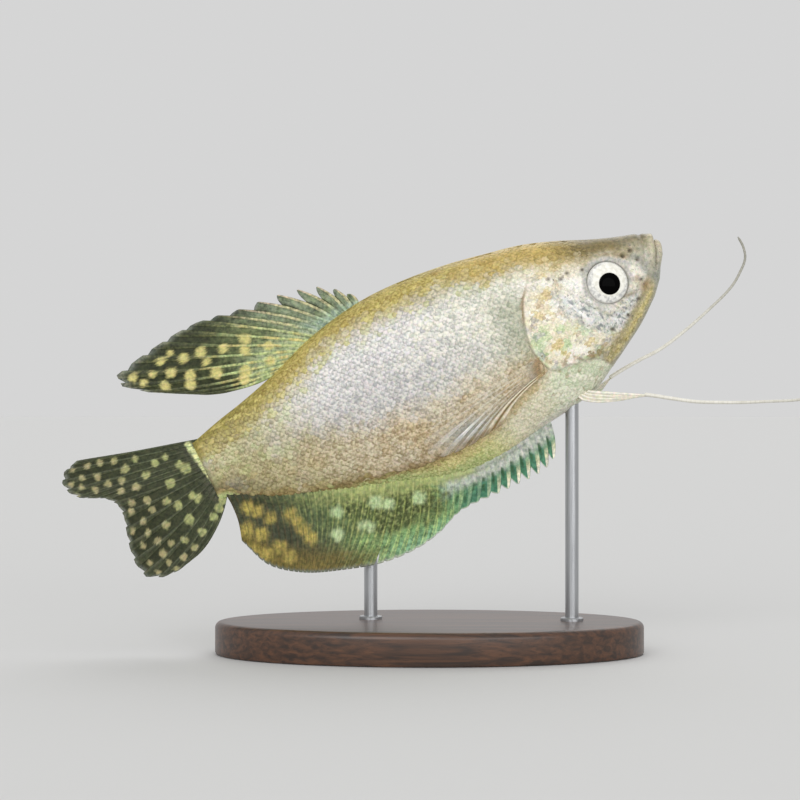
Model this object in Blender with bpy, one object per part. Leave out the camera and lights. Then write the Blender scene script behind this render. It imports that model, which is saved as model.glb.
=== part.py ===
"""Three spot gourami as a still, life-size model on a plain display stand.

The fish is drawn in millimetres in its own frame: x runs forward from the root of the tail fin
to the lips, y to the fish's left, z up its back. The empty named fish holds that frame, tips it
nose-up and sets it over the stand. The stand is drawn in the model's frame, whose origin is the
centre of the base's underside. Blender's own unit is the metre.
"""

import math

import bpy
import numpy as np

MM = 0.001
GAP = 0.3  # clearance between pieces that meet

# The whole fish
PITCH = math.radians(26.0)  # nose-up attitude
TAIL_ROOT = (-40.5, 0.0, 34.5)  # where the fish frame's origin stands in the model's frame
TAIL_END = 0.0  # flat rear end of the body
CAP_START = 90.5  # from here the snout closes like a cap
SNOUT = 93.2  # foremost point of the lips
LIP_HEIGHT = 1.0  # height at which the snout closes
TAIL_CUT = 14.0  # where the tail stem meets the trunk

# Skin relief of the head: how far each form stands off the plain body, and how wide it is
GILL_STEP, GILL_FADE = 0.6, 2.6  # the gill cover's rear rim
GILL_TOP = 9.0  # above this height the rim sinks into the nape
GILL_THROAT = -15.5  # and towards this height it thins into the throat
ORBIT_RIM, ORBIT_RADIUS, ORBIT_SPREAD = 0.5, 5.0, 0.9
CHEEK_DEPTH, CHEEK_SPREAD = 0.4, 0.8
FOLD_DEPTH, FOLD_SPREAD = 0.3, 0.5
LIP_RISE, LIP_SPREAD, LIP_OFFSET = 0.42, 0.55, 0.85  # a roll on each side of the mouth's line
LIP_CORNER = -0.8  # below this height the rolls sink into the cheek

# Eyes
EYE_X = 80.9
EYE_Z = -1.25
EYE_RADIUS = 3.9
EYE_DOME = 1.15  # height of the cornea above the eye's rim
EYE_DEPTH = 1.6
EYE_OUT = 5.2  # distance of the eye's rim from the middle plane
EYE_TURN = math.radians(11.0)  # the eyes look a little forwards

# Fin thickness
RAY_HALF = 0.42
WEB_HALF = 0.25
WEB_COLUMNS = (0.2, 0.75)  # where the web is drawn between one ray and the next
TIP_TAPER = 0.45  # share of the thickness lost by the tips

# Fin rays
DORSAL_SPINES, DORSAL_RAYS = 8, 9
ANAL_SPINES, ANAL_RAYS = 11, 34
CAUDAL_RAYS = 16
PECTORAL_RAYS = 10

# Stand
BASE_LENGTH, BASE_WIDTH, BASE_HEIGHT = 80.0, 46.0, 6.0
BASE_EDGE = 1.2
ROD_RADIUS = 1.25
FRONT_ROD = (26.6, 0.0)
REAR_ROD = (-11.0, 3.5)
FRONT_ROD_TOP = 50.5
REAR_ROD_TOP = 47.0

HEAD_RING, BODY_RING = 52, 36  # points round one section


def curve(*points):
    """A function of x that runs smoothly through the (x, value) points."""
    xs, ys = (np.array(c, float) for c in zip(*points))
    chord = np.diff(ys) / np.diff(xs)
    slope = np.concatenate([chord[:1], (chord[1:] + chord[:-1]) / 2, chord[-1:]])

    def at(x):
        x = np.clip(x, xs[0], xs[-1])
        i = np.clip(np.searchsorted(xs, x, side="right") - 1, 0, len(xs) - 2)
        width = xs[i + 1] - xs[i]
        t = (x - xs[i]) / width
        start = (2 * t**3 - 3 * t**2 + 1) * ys[i] + (t**3 - 2 * t**2 + t) * width * slope[i]
        return start + (3 * t**2 - 2 * t**3) * ys[i + 1] + (t**3 - t**2) * width * slope[i + 1]

    return at


def path(*points):
    """A function of t, from 0 to 1, that runs smoothly along the points by arc length."""
    points = np.array(points, float)
    steps = np.linalg.norm(np.diff(points, axis=0), axis=1)
    share = np.concatenate([[0.0], np.cumsum(steps)]) / steps.sum()
    axes = [curve(*zip(share, column)) for column in points.T]
    return lambda t: np.array([axis(t) for axis in axes]).T


# Side outline and plan of the body, from the tail's root to the lips
BACK = curve((-1, 5.9), (5, 7.5), (10, 8.6), (17, 10.5), (27, 13.9), (38, 15.9), (46, 16.0),
             (56, 15.0), (64, 13.5), (70, 12.2), (76, 10.1), (82, 7.5), (86, 6.0), (90.5, 4.6),
             (93.8, 3.7))
BELLY = curve((-1, -5.9), (1, -6.5), (6, -9.2), (10, -11.2), (16, -13.2), (24, -15.8), (31, -18.1),
              (37, -20.1), (43, -21.6), (50, -21.6), (58, -20.4), (66, -19.3), (71, -18.2),
              (76, -15.5), (80, -13.2), (84, -10.8), (88, -7.6), (90.5, -4.9))
HALF_WIDTH = curve((-1, 1.5), (6, 2.4), (14, 3.8), (24, 5.4), (34, 6.7), (46, 7.7), (58, 8.0),
                   (68, 7.7), (76, 6.6), (82, 5.3), (88, 3.8), (93.8, 2.3))
WIDEST = curve((-1, 0.50), (20, 0.54), (45, 0.58), (65, 0.52), (80, 0.48), (93.8, 0.55))
KEEL = curve((-1, 1.1), (10, 1.35), (45, 1.35), (60, 1.15), (70, 1.0), (93.8, 1.0))
BACK_ROUND = 1.05

# Rear rim of the gill cover, from above the nape to under the throat, which parts head from trunk
GILL_RIM = path((70.6, 24), (69.7, 12.7), (67.6, 5.6), (65.2, 2.4), (63.6, -1.6), (62.9, -5.5),
                (63.4, -9), (64.7, -11.3), (68.6, -11.9), (72.5, -12.6), (74.6, -14.4), (76.3, -17.5),
                (77.5, -21))
CHEEK_GROOVE = path((73.5, 4.5), (71.8, 0), (72.5, -5), (75.5, -8.6), (80.5, -10))
MOUTH_SLIT = path((94.3, 4.3), (92.9, 2.5), (92.1, 0.4), (91.2, -1.6), (90.5, -3.1))
MOUTH_GAP = 0.3
LIP_FOLD = path((90.7, 5.0), (90.6, 2.8), (89.9, 0.6), (88.9, -1.2))
NOSTRILS = ((85.6, 1.9), (87.5, 2.3))
NOSTRIL_RADIUS, NOSTRIL_DEPTH = 0.42, 0.5

# Fin outlines: roots follow the body, tips run along these margins
DORSAL_FRONT, DORSAL_REAR = 37.8, 17.2
DORSAL_TIPS = path((37.5, 17.8), (33.4, 21.4), (25.9, 23.6), (16.8, 24.6), (9.1, 25.8), (-1.6, 24.8),
                   (-9.5, 22.7), (-5.2, 18.4), (-0.9, 15.9), (3.2, 13.7))
ANAL_ROOT = curve((0, 60.0), (0.23, 41.0), (1, 0.4))
ANAL_LEAN = curve((0, 0), (0.23, 0.32), (0.44, 0.62), (0.85, 0.86), (1, 1))
ANAL_TIPS = path((58.1, -26.3), (55.8, -27.4), (47.7, -27.7), (37.5, -27.7), (32.7, -29.5),
                 (27.8, -30.3), (21.1, -29.9), (13.7, -27.8), (6.3, -24.7), (1.4, -20.7), (-0.9, -15.1))
ANAL_SLIT = 18  # the web behind this ray is torn a little
CAUDAL_LEAN = curve((0, 0), (0.5, 0.43), (1, 1))
CAUDAL_TIPS = path((-22.8, 12.1), (-25.6, 11.1), (-26.4, 8.9), (-24.7, 6.0), (-19.9, 3.4), (-18.3, 0.6),
                   (-18.9, -1.8), (-20.3, -7.2), (-20.4, -11.5), (-19.5, -13.2), (-15.3, -14.5),
                   (-10.8, -13.7))
PECTORAL_ROOT = ((63.0, -8.2), (62.0, -11.4))
PECTORAL_TIPS = path((45.5, -9.6), (39.8, -11.2), (36.9, -14.0), (38.6, -16.4), (44.0, -17.2),
                     (51.0, -16.4))
PELVIC_X = 69.2
PELVIC_HALF = 2.6  # the pelvic fins stand this far each side of the middle plane
PELVIC_RAYS = 4
RIGHT_THREAD = path((69.2, -2.6, -18.0), (74.8, -3.4, -20.9), (78.7, -4.0, -23.2), (82.3, -4.8, -25.7),
                    (85.9, -5.6, -28.1), (89.7, -6.4, -30.1), (93.6, -7.2, -32.0), (97.5, -8.0, -33.7),
                    (101.4, -8.8, -35.4), (106.2, -9.4, -37.0), (111.5, -9.8, -38.4))
LEFT_THREAD = path((69.2, 2.6, -18.2), (72.0, 2.9, -18.0), (74.9, 3.3, -17.4), (80.2, 4.8, -17.0),
                   (85.5, 6.4, -16.9), (91.3, 8.0, -15.9), (97.5, 9.6, -14.3), (103.8, 11.2, -12.2),
                   (106.5, 12.0, -10.5), (108.7, 12.7, -8.5), (109.4, 13.2, -6.4), (109.4, 13.6, -4.2))
# Shares of each long ray's length where its lobe ends and its lengths are parted, and the lobe's depth
RIGHT_CUTS = (0.25, 0.62, 1.0)
LEFT_CUTS = (0.13, 0.56, 1.0)
RIGHT_LOBE, LEFT_LOBE = 0.45, 0.28
THREAD_ROOT_RADIUS, THREAD_TIP_RADIUS = 0.42, 0.26


def body_levels(x):
    """Top, bottom, half width and height of the widest line of the body's section at x."""
    u = np.clip((x - CAP_START) / (SNOUT - CAP_START), 0.0, 1.0)
    round_share = np.sqrt(1.0 - u**2)
    top = LIP_HEIGHT + (BACK(x) - LIP_HEIGHT) * round_share
    bottom = LIP_HEIGHT + (BELLY(x) - LIP_HEIGHT) * (1.0 - u) ** 0.75
    return top, bottom, HALF_WIDTH(x) * round_share, bottom + WIDEST(x) * (top - bottom)


def section_point(x, angle):
    """The (y, z) of the plain body surface at x, by the angle round its section."""
    top, bottom, half, middle = body_levels(x)
    across, up = math.cos(angle), math.sin(angle)
    power = BACK_ROUND if up > 0 else float(KEEL(x))
    height = (top - middle) if up > 0 else (middle - bottom)
    y = half * math.copysign(abs(across) ** power, across)
    return y, middle + height * math.copysign(abs(up) ** power, up)


def flank(x, z):
    """Half width of the plain body at x and height z."""
    top, bottom, half, middle = body_levels(x)
    above = z > middle
    power = BACK_ROUND if above else float(KEEL(x))
    reach = (z - middle) / (top - middle) if above else (middle - z) / (middle - bottom)
    up = min(max(reach, 0.0), 1.0) ** (1.0 / power)
    return float(half) * max(1.0 - up**2, 0.0) ** (power / 2)


def under(x, y):
    """Height of the plain body's lower surface at x, y off the middle plane."""
    _, bottom, half, middle = body_levels(x)
    power = float(KEEL(x))
    across = min(abs(y) / half, 1.0) ** (1.0 / power)
    return float(middle - (middle - bottom) * math.sqrt(1.0 - across**2) ** power)


def distance_to(line, x, z):
    """Shortest distance from (x, z) to a sampled line."""
    return float(np.min(np.hypot(line[:, 0] - x, line[:, 1] - z)))


RIM_LINE = GILL_RIM(np.linspace(0, 1, 44))
GROOVE_LINE = CHEEK_GROOVE(np.linspace(0, 1, 40))
SLIT_LINE = MOUTH_SLIT(np.linspace(0, 1, 24))
FOLD_LINE = LIP_FOLD(np.linspace(0, 1, 20))


def offset_line(line, distance):
    """The (x, z) line moved sideways, to the left of its own direction."""
    along = np.gradient(line, axis=0)
    along /= np.linalg.norm(along, axis=1)[:, None]
    return line + distance * np.column_stack([-along[:, 1], along[:, 0]])


LIP_LINES = np.concatenate([offset_line(SLIT_LINE, LIP_OFFSET), offset_line(SLIT_LINE, -LIP_OFFSET)])


def ridge(distance, spread):
    """A rounded ridge's height, from 1 on its crest to nothing a few spreads away."""
    return math.exp(-((distance / spread) ** 2))


def head_relief(x, z):
    """How far the head's skin stands off the plain body: gill cover, orbit, cheek, lips and lip fold."""
    gill = GILL_STEP * math.exp(-distance_to(RIM_LINE, x, z) / GILL_FADE)
    gill *= min(max((GILL_TOP + 3.0 - z) / 4.0, 0.0), 1.0) * min(max((z - GILL_THROAT) / 4.0, 0.1), 1.0)
    orbit = ORBIT_RIM * ridge(math.hypot(x - EYE_X, z - EYE_Z) - ORBIT_RADIUS, ORBIT_SPREAD)
    cheek = CHEEK_DEPTH * ridge(distance_to(GROOVE_LINE, x, z), CHEEK_SPREAD)
    fold = FOLD_DEPTH * ridge(distance_to(FOLD_LINE, x, z), FOLD_SPREAD)
    lips = LIP_RISE * ridge(distance_to(LIP_LINES, x, z), LIP_SPREAD)
    lips *= min(max((z - LIP_CORNER) / 2.0 + 1.0, 0.0), 1.0)
    return gill + orbit - cheek - fold + lips


def material(name, colour, roughness, metallic=0.0):
    made = bpy.data.materials.new(name)
    made.use_nodes = True
    shader = made.node_tree.nodes["Principled BSDF"]
    shader.inputs["Base Color"].default_value = (*colour, 1.0)
    shader.inputs["Roughness"].default_value = roughness
    shader.inputs["Metallic"].default_value = metallic
    return made


def solid(name, points, faces, finish=None, parent=None):
    """A mesh object from points in millimetres."""
    mesh = bpy.data.meshes.new(name)
    mesh.from_pydata([tuple(c * MM for c in p) for p in points], [], faces)
    mesh.update()
    if finish:
        mesh.materials.append(finish)
    made = bpy.data.objects.new(name, mesh)
    bpy.context.scene.collection.objects.link(made)
    made.parent = parent
    return made


def loft(rings, tip=None):
    """Closed faces over rings of equal count, capped flat, or drawn to one tip point at the end."""
    count = len(rings[0])
    points = [p for ring in rings for p in ring]
    faces = [tuple(reversed(range(count)))]
    for i in range(len(rings) - 1):
        for k in range(count):
            a, b = i * count + k, i * count + (k + 1) % count
            faces.append((a, b, b + count, a + count))
    last = (len(rings) - 1) * count
    if tip is None:
        faces.append(tuple(last + k for k in range(count)))
    else:
        points.append(tip)
        faces += [(last + k, last + (k + 1) % count, len(points) - 1) for k in range(count)]
    return points, faces


def body_rings(stations, count, relief=None):
    """Sections of the body at the stations, moved out along the surface's normals by the relief."""
    angles = 2 * math.pi * np.arange(count) / count
    rings = np.array([[(x, *section_point(x, angle)) for angle in angles] for x in stations])
    if relief:
        across = np.roll(rings, -1, axis=1) - np.roll(rings, 1, axis=1)
        normals = np.cross(across, np.gradient(rings, axis=0))
        normals /= np.linalg.norm(normals, axis=2)[..., None]
        rings += normals * np.array([[relief(x, z) for x, _, z in ring] for ring in rings])[..., None]
    return [[tuple(point) for point in ring] for ring in rings]


def prism(name, outline, half_depth=14.0, parent=None):
    """A block whose side view is the (x, z) outline, across the whole body."""
    near = [(x, -half_depth, z) for x, z in outline]
    far = [(x, half_depth, z) for x, z in outline]
    points, faces = loft([near, far])
    made = solid(name, points, faces, parent=parent)
    area = sum(a[0] * b[1] - b[0] * a[1] for a, b in zip(outline, outline[1:] + outline[:1]))
    if area > 0:
        made.data.flip_normals()
    return made


def apply_boolean(target, tool, operation):
    """Cuts or joins tool into target's own mesh, and removes tool."""
    modifier = target.modifiers.new(operation.title(), "BOOLEAN")
    modifier.operation = operation
    modifier.solver = "EXACT"
    modifier.object = tool
    bpy.context.view_layer.update()
    evaluated = target.evaluated_get(bpy.context.evaluated_depsgraph_get())
    made = bpy.data.meshes.new_from_object(evaluated)
    target.modifiers.clear()
    target.data = made
    bpy.data.objects.remove(tool)


def smooth(piece, angle=50.0):
    piece.data.shade_smooth()
    piece.data.set_sharp_from_angle(angle=math.radians(angle))


def rod_solid(name, place, bottom, top, radius, finish=None):
    count = 20
    circle = [(place[0] + radius * math.cos(2 * math.pi * k / count),
               place[1] + radius * math.sin(2 * math.pi * k / count)) for k in range(count)]
    points, faces = loft([[(x, y, z) for x, y in circle] for z in (bottom, top)])
    made = solid(name, points, faces, finish)
    return made


def turned(name, profile, count, centre, axis, finish=None, parent=None):
    """A turned piece: the (radius, height) profile swept about an axis through centre."""
    axis = np.array(axis, float) / np.linalg.norm(axis)
    side = np.cross(axis, (0.0, 0.0, 1.0))
    side /= np.linalg.norm(side)
    up = np.cross(side, axis)
    rings = []
    for radius, height in profile[:-1]:
        rings.append([tuple(np.array(centre) + height * axis
                            + radius * (math.cos(a) * side - math.sin(a) * up))
                      for a in (2 * math.pi * k / count for k in range(count))])
    tip = tuple(np.array(centre) + profile[-1][1] * axis)
    points, faces = loft(rings, tip)
    return solid(name, points, faces, finish, parent)


def eye_axis(side):
    """Outward direction of the eye on side -1 (right) or 1 (left)."""
    return (math.sin(EYE_TURN), side * math.cos(EYE_TURN), 0.0)


def tube_solid(name, line, radii, aside, finish, parent, sides=8):
    """A closed tapering tube along a line of points, which nowhere runs along the aside direction."""
    along = np.gradient(line, axis=0)
    rings = []
    for centre, direction, radius in zip(line, along, radii):
        first = np.cross(direction, aside)
        first /= np.linalg.norm(first)
        second = np.cross(direction, first)
        second /= np.linalg.norm(second)
        rings.append([tuple(centre + radius * (math.cos(a) * first + math.sin(a) * second))
                      for a in (2 * math.pi * k / sides for k in range(sides))])
    points, faces = loft(rings)
    made = solid(name, points, faces, finish, parent)
    smooth(made, 60.0)
    return made


def make_head(fish, finish):
    stations = list(np.linspace(61.0, CAP_START, 29))
    stations += [CAP_START + (SNOUT - CAP_START) * math.sin(math.radians(a)) for a in range(10, 90, 10)]
    tip = (SNOUT + head_relief(SNOUT, LIP_HEIGHT), 0.0, LIP_HEIGHT)
    points, faces = loft(body_rings(stations, HEAD_RING, head_relief), tip)
    head = solid("head", points, faces, finish, fish)
    region = RIM_LINE.tolist() + [[110, -21], [110, 24]]
    apply_boolean(head, prism("head_region", region, parent=fish), "INTERSECT")
    slit = offset_line(SLIT_LINE, MOUTH_GAP / 2).tolist()
    slit += offset_line(SLIT_LINE, -MOUTH_GAP / 2).tolist()[::-1]
    apply_boolean(head, prism("mouth", slit, 5.0, fish), "DIFFERENCE")
    for side in (-1, 1):
        centre = (EYE_X, side * EYE_OUT, EYE_Z)
        socket = [(EYE_RADIUS + GAP, -EYE_DEPTH - GAP), (EYE_RADIUS + GAP, 3.0), (0, 3.0)]
        apply_boolean(head, turned("socket", socket, 32, centre, eye_axis(side), parent=fish), "DIFFERENCE")
        for x, z in NOSTRILS:
            pit = [(0.6 * NOSTRIL_RADIUS, -NOSTRIL_DEPTH), (NOSTRIL_RADIUS, 0.6), (0, 0.6)]
            mouth = (x, side * (flank(x, z) + head_relief(x, z)), z)
            apply_boolean(head, turned("pit", pit, 10, mouth, (0.2, side, 0.1), parent=fish), "DIFFERENCE")
    smooth(head)


def make_body(fish, finish):
    stations = np.linspace(TAIL_END, 79.0, 31)
    region = offset_line(RIM_LINE, -GAP).tolist()
    trunk_outline = region + [[60, -30], [TAIL_CUT + GAP / 2, -30], [TAIL_CUT + GAP / 2, 24]]
    tail_outline = [[TAIL_END - 5, -30], [TAIL_CUT - GAP / 2, -30], [TAIL_CUT - GAP / 2, 24],
                    [TAIL_END - 5, 24]]
    for name, outline in (("trunk", trunk_outline), ("tail_stem", tail_outline)):
        points, faces = loft(body_rings(stations, BODY_RING))
        piece = solid(name, points, faces, finish, fish)
        apply_boolean(piece, prism(name + "_region", outline, parent=fish), "INTERSECT")
        smooth(piece)
    return bpy.data.objects["trunk"]


def make_eyes(fish, finish):
    dome = []
    radius = (EYE_RADIUS**2 + EYE_DOME**2) / (2 * EYE_DOME)
    for share in (1.0, 0.85, 0.65, 0.4, 0.15, 0.0):
        reach = share * EYE_RADIUS
        dome.append((reach, EYE_DOME - radius + math.sqrt(radius**2 - reach**2)))
    profile = [(EYE_RADIUS, -EYE_DEPTH)] + dome
    for side, name in ((-1, "eye_right"), (1, "eye_left")):
        eye = turned(name, profile, 28, (EYE_X, side * EYE_OUT, EYE_Z), eye_axis(side), finish, fish)
        smooth(eye)


def bowed(root, tip, bow, rows):
    """Points along a ray from root to tip that bows sideways by a share of its length."""
    root, tip = np.array(root, float), np.array(tip, float)
    t = np.linspace(0, 1, rows + 1)[:, None]
    along = tip - root
    side = np.array([-along[-1], *([0.0] * (len(along) - 2)), along[0]])
    return root + along * t + side * bow * 4 * t * (1 - t)


def cut_short(ray, share):
    """The ray's points drawn back so that it ends at that share of its length."""
    t = np.linspace(0, 1, len(ray))
    return np.array([np.interp(t * share, t, axis) for axis in ray.T]).T


def fin_columns(rays, notches):
    """Every column of the fin: each ray, and behind it the web, cut back most close to that ray."""
    columns, heights = [], []
    for i, ray in enumerate(rays):
        columns.append(ray)
        heights.append(RAY_HALF)
        if i + 1 < len(rays):
            for f in WEB_COLUMNS:
                web = ray * (1 - f) + rays[i + 1] * f
                columns.append(cut_short(web, 1 - notches[i] * (1 - f)))
                heights.append(WEB_HALF)
    return np.array(columns), np.array(heights)


def fin_solid(name, columns, heights, root_half, finish, parent, normals=None):
    """A closed fin: two faces split into triangles alike, joined round their edge."""
    n, m = columns.shape[:2]
    if normals is None:
        normals = np.zeros_like(columns)
        normals[..., 1] = 1.0
    v = np.linspace(0, 1, m)[None, :]
    half = heights[:, None] * (1 - TIP_TAPER * v**2)
    half = np.maximum(half, root_half * np.clip(1 - v * 5, 0, 1))
    points = [tuple(p) for p in (columns + normals * half[..., None]).reshape(-1, 3)]
    points += [tuple(p) for p in (columns - normals * half[..., None]).reshape(-1, 3)]
    back = n * m
    faces = []
    for i in range(n - 1):
        for j in range(m - 1):
            a, b = i * m + j, (i + 1) * m + j
            for p, q, r in ((a, b, b + 1), (a, b + 1, a + 1)):
                faces.append((p, q, r))
                faces.append((back + p, back + r, back + q))
    loop = [i * m for i in range(n)] + [(n - 1) * m + j for j in range(1, m)]
    loop += [i * m + m - 1 for i in range(n - 2, -1, -1)] + [j for j in range(m - 2, 0, -1)]
    for a, b in zip(loop, loop[1:] + loop[:1]):
        faces.append((b, a, back + a))
        faces.append((b, back + a, back + b))
    made = solid(name, points, faces, finish, parent)
    if sum_of_volume(points, faces) < 0:
        made.data.flip_normals()
    smooth(made, 40.0)
    return made


def sum_of_volume(points, faces):
    """Six times the signed volume that the triangles enclose."""
    corners = np.array(points)[np.array(faces)]
    return float(np.linalg.det(corners).sum())


def with_depth(ray, depth):
    """A flat (x, z) ray given its y at each point."""
    return np.column_stack([ray[:, 0], depth, ray[:, 1]])


def make_dorsal(fish, finish):
    count, rows = DORSAL_SPINES + DORSAL_RAYS, 7
    v = np.linspace(0, 1, rows + 1)
    rays, notches = [], []
    for i in range(count):
        t = i / (count - 1)
        x = DORSAL_FRONT + (DORSAL_REAR - DORSAL_FRONT) * t
        ray = bowed((x, BACK(x) + GAP), DORSAL_TIPS(t**1.1), -0.08 * (1 - t) + 0.05 * t, rows)
        rays.append(with_depth(ray, 1.1 * v**2 * math.sin(2.6 * t + 0.4)))
        notches.append(0.5 - 0.3 * i / DORSAL_SPINES if i < DORSAL_SPINES else 0.08)
    columns, heights = fin_columns(rays, notches)
    fin_solid("dorsal_fin", columns, heights, 0.75, finish, fish)


def make_anal(fish, finish):
    count, rows = ANAL_SPINES + ANAL_RAYS, 5
    v = np.linspace(0, 1, rows + 1)
    rays, notches = [], []
    for i in range(count):
        t = i / (count - 1)
        x = float(ANAL_ROOT(t))
        ray = bowed((x, BELLY(x) - GAP), ANAL_TIPS(ANAL_LEAN(t)), 0.05, rows)
        rays.append(with_depth(ray, 0.8 * v**2 * math.sin(7.0 * t)))
        notches.append(0.36 - 0.26 * i / ANAL_SPINES if i < ANAL_SPINES else 0.03)
    notches[ANAL_SLIT] = 0.16
    columns, heights = fin_columns(rays, notches)
    fin_solid("anal_fin", columns, heights, 0.6, finish, fish)


def make_caudal(fish, finish):
    rows = 6
    v = np.linspace(0, 1, rows + 1)
    top, bottom = float(BACK(TAIL_END)) - GAP, float(BELLY(TAIL_END)) + GAP
    rays = []
    for i in range(CAUDAL_RAYS):
        t = i / (CAUDAL_RAYS - 1)
        ray = bowed((TAIL_END - GAP, top + (bottom - top) * t), CAUDAL_TIPS(CAUDAL_LEAN(t)), 0.08 * t**3, rows)
        rays.append(with_depth(ray, -1.8 * v**2 * math.cos(2.2 * (t - 0.5))))
    half = CAUDAL_RAYS // 2
    middle = (rays[half - 1] + rays[half]) / 2
    apart = rays[half - 1] - rays[half]
    apart *= (GAP / 2) / np.linalg.norm(apart, axis=1)[:, None]
    notches = [0.02] * CAUDAL_RAYS
    for name, group, edge in (("caudal_fin_upper", rays[:half], 1), ("caudal_fin_lower", rays[half:], -1)):
        columns, heights = fin_columns(group, notches)
        border = (middle + edge * apart)[None]
        columns = np.concatenate([columns, border] if edge > 0 else [border, columns])
        heights = np.append(heights, WEB_HALF) if edge > 0 else np.insert(heights, 0, WEB_HALF)
        fin_solid(name, columns, heights, 0.9, finish, fish)


def grid_normals(columns, outward):
    """Unit normals of a grid of points, all turned to the outward side."""
    along = np.gradient(columns, axis=1)
    across = np.gradient(columns, axis=0)
    normals = np.cross(along, across)
    normals /= np.linalg.norm(normals, axis=2)[..., None]
    return normals * np.sign(normals[..., 1:2] * outward)


def make_pectorals(fish, finish):
    rows = 5
    for side, name in ((-1, "pectoral_fin_right"), (1, "pectoral_fin_left")):
        rays = []
        for i in range(PECTORAL_RAYS):
            t = i / (PECTORAL_RAYS - 1)
            root = np.array(PECTORAL_ROOT[0]) * (1 - t) + np.array(PECTORAL_ROOT[1]) * t
            ray = bowed(root, PECTORAL_TIPS(t), -0.06 * t, rows)
            clear = 1.05 + 1.6 * np.linspace(0, 1, rows + 1) ** 1.3
            depth = np.array([flank(x, z) for x, z in ray]) + clear
            rays.append(with_depth(ray, side * depth))
        columns, heights = fin_columns(rays, [0.03] * PECTORAL_RAYS)
        fin_solid(name, columns, heights, 0.6, finish, fish, grid_normals(columns, side))


def thread_radius(t):
    return THREAD_ROOT_RADIUS + (THREAD_TIP_RADIUS - THREAD_ROOT_RADIUS) * t


def make_pelvics(fish, finish):
    """Each pelvic fin: a small lobe of rays, whose first runs on as a long thread in two lengths."""
    rows = 5
    v = np.linspace(0, 1, rows + 1)[:, None]
    for side, word, thread, cuts, depth in ((-1, "right", RIGHT_THREAD, RIGHT_CUTS, RIGHT_LOBE),
                                            (1, "left", LEFT_THREAD, LEFT_CUTS, LEFT_LOBE)):
        rays = []
        for i in range(PELVIC_RAYS):
            x = PELVIC_X - 0.65 * i
            root = np.array((x, side * PELVIC_HALF, under(x, PELVIC_HALF) - GAP))
            end = thread(cuts[0] * (1 - 0.16 * i)) - (0, 0, depth * i)
            knee = root + (0.9, side * 0.3, -0.6 - depth * i)
            rays.append(root * (1 - v) ** 2 + knee * 2 * v * (1 - v) + end * v**2)
        columns, heights = fin_columns(rays, [0.06] * PELVIC_RAYS)
        fin_solid(f"pelvic_fin_{word}", columns, heights, 0.5, finish, fish)
        for k, (start, end) in enumerate(zip(cuts, cuts[1:])):
            t = np.linspace(start + 0.007, end, 12)
            tube_solid(f"pelvic_thread_{word}_{k + 1}", thread(t), thread_radius(t), (0, 1, 0),
                       finish, fish)


def make_stand(trunk, wood, steel):
    count, rows = 64, []
    for inset, z in ((BASE_EDGE, 0.0), (0.0, BASE_EDGE), (0.0, BASE_HEIGHT - BASE_EDGE),
                     (BASE_EDGE, BASE_HEIGHT)):
        rows.append([((BASE_LENGTH / 2 - inset) * math.cos(a), (BASE_WIDTH / 2 - inset) * math.sin(a), z)
                     for a in (2 * math.pi * k / count for k in range(count))])
    points, faces = loft(rows)
    base = solid("stand_base", points, faces, wood)
    smooth(base, 30.0)
    for name, place, top in (("stand_rod_front", FRONT_ROD, FRONT_ROD_TOP),
                             ("stand_rod_rear", REAR_ROD, REAR_ROD_TOP)):
        rod = rod_solid(name, place, BASE_HEIGHT + GAP, top, ROD_RADIUS, steel)
        smooth(rod, 40.0)
        hole = rod_solid("hole", place, 20.0, top + GAP, ROD_RADIUS + GAP)
        apply_boolean(trunk, hole, "DIFFERENCE")


def main():
    for old in list(bpy.data.objects):
        bpy.data.objects.remove(old)
    fish = bpy.data.objects.new("fish", None)
    bpy.context.scene.collection.objects.link(fish)
    fish.location = [c * MM for c in TAIL_ROOT]
    fish.rotation_euler = (0.0, -PITCH, 0.0)
    skin = material("silver_skin", (0.62, 0.60, 0.50), 0.35)
    web = material("fin_membrane", (0.16, 0.19, 0.12), 0.4)
    clear_web = material("pectoral_membrane", (0.55, 0.54, 0.46), 0.3)
    iris = material("eye", (0.85, 0.85, 0.78), 0.15)
    thread = material("pelvic_ray", (0.72, 0.70, 0.60), 0.4)
    wood = material("stained_wood", (0.05, 0.03, 0.02), 0.45)
    steel = material("brushed_steel", (0.55, 0.55, 0.55), 0.3, 1.0)
    make_head(fish, skin)
    trunk = make_body(fish, skin)
    make_eyes(fish, iris)
    make_dorsal(fish, web)
    make_anal(fish, web)
    make_caudal(fish, web)
    make_pectorals(fish, clear_web)
    make_pelvics(fish, thread)
    make_stand(trunk, wood, steel)


main()
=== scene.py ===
"""Three spot gourami on its display stand, dressed for rendering: skin, scales, eyes, fins, stand and studio.

The fish is drawn in millimetres in its own frame: x runs forward from the root of the tail fin to the
lips, y to the fish's left, z up its back. to_model() turns that into the model's frame, in metres.
"""

import math

import bpy
import numpy as np
from bpy.props import FloatProperty, FloatVectorProperty, IntProperty, PointerProperty
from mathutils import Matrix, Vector, noise


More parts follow.
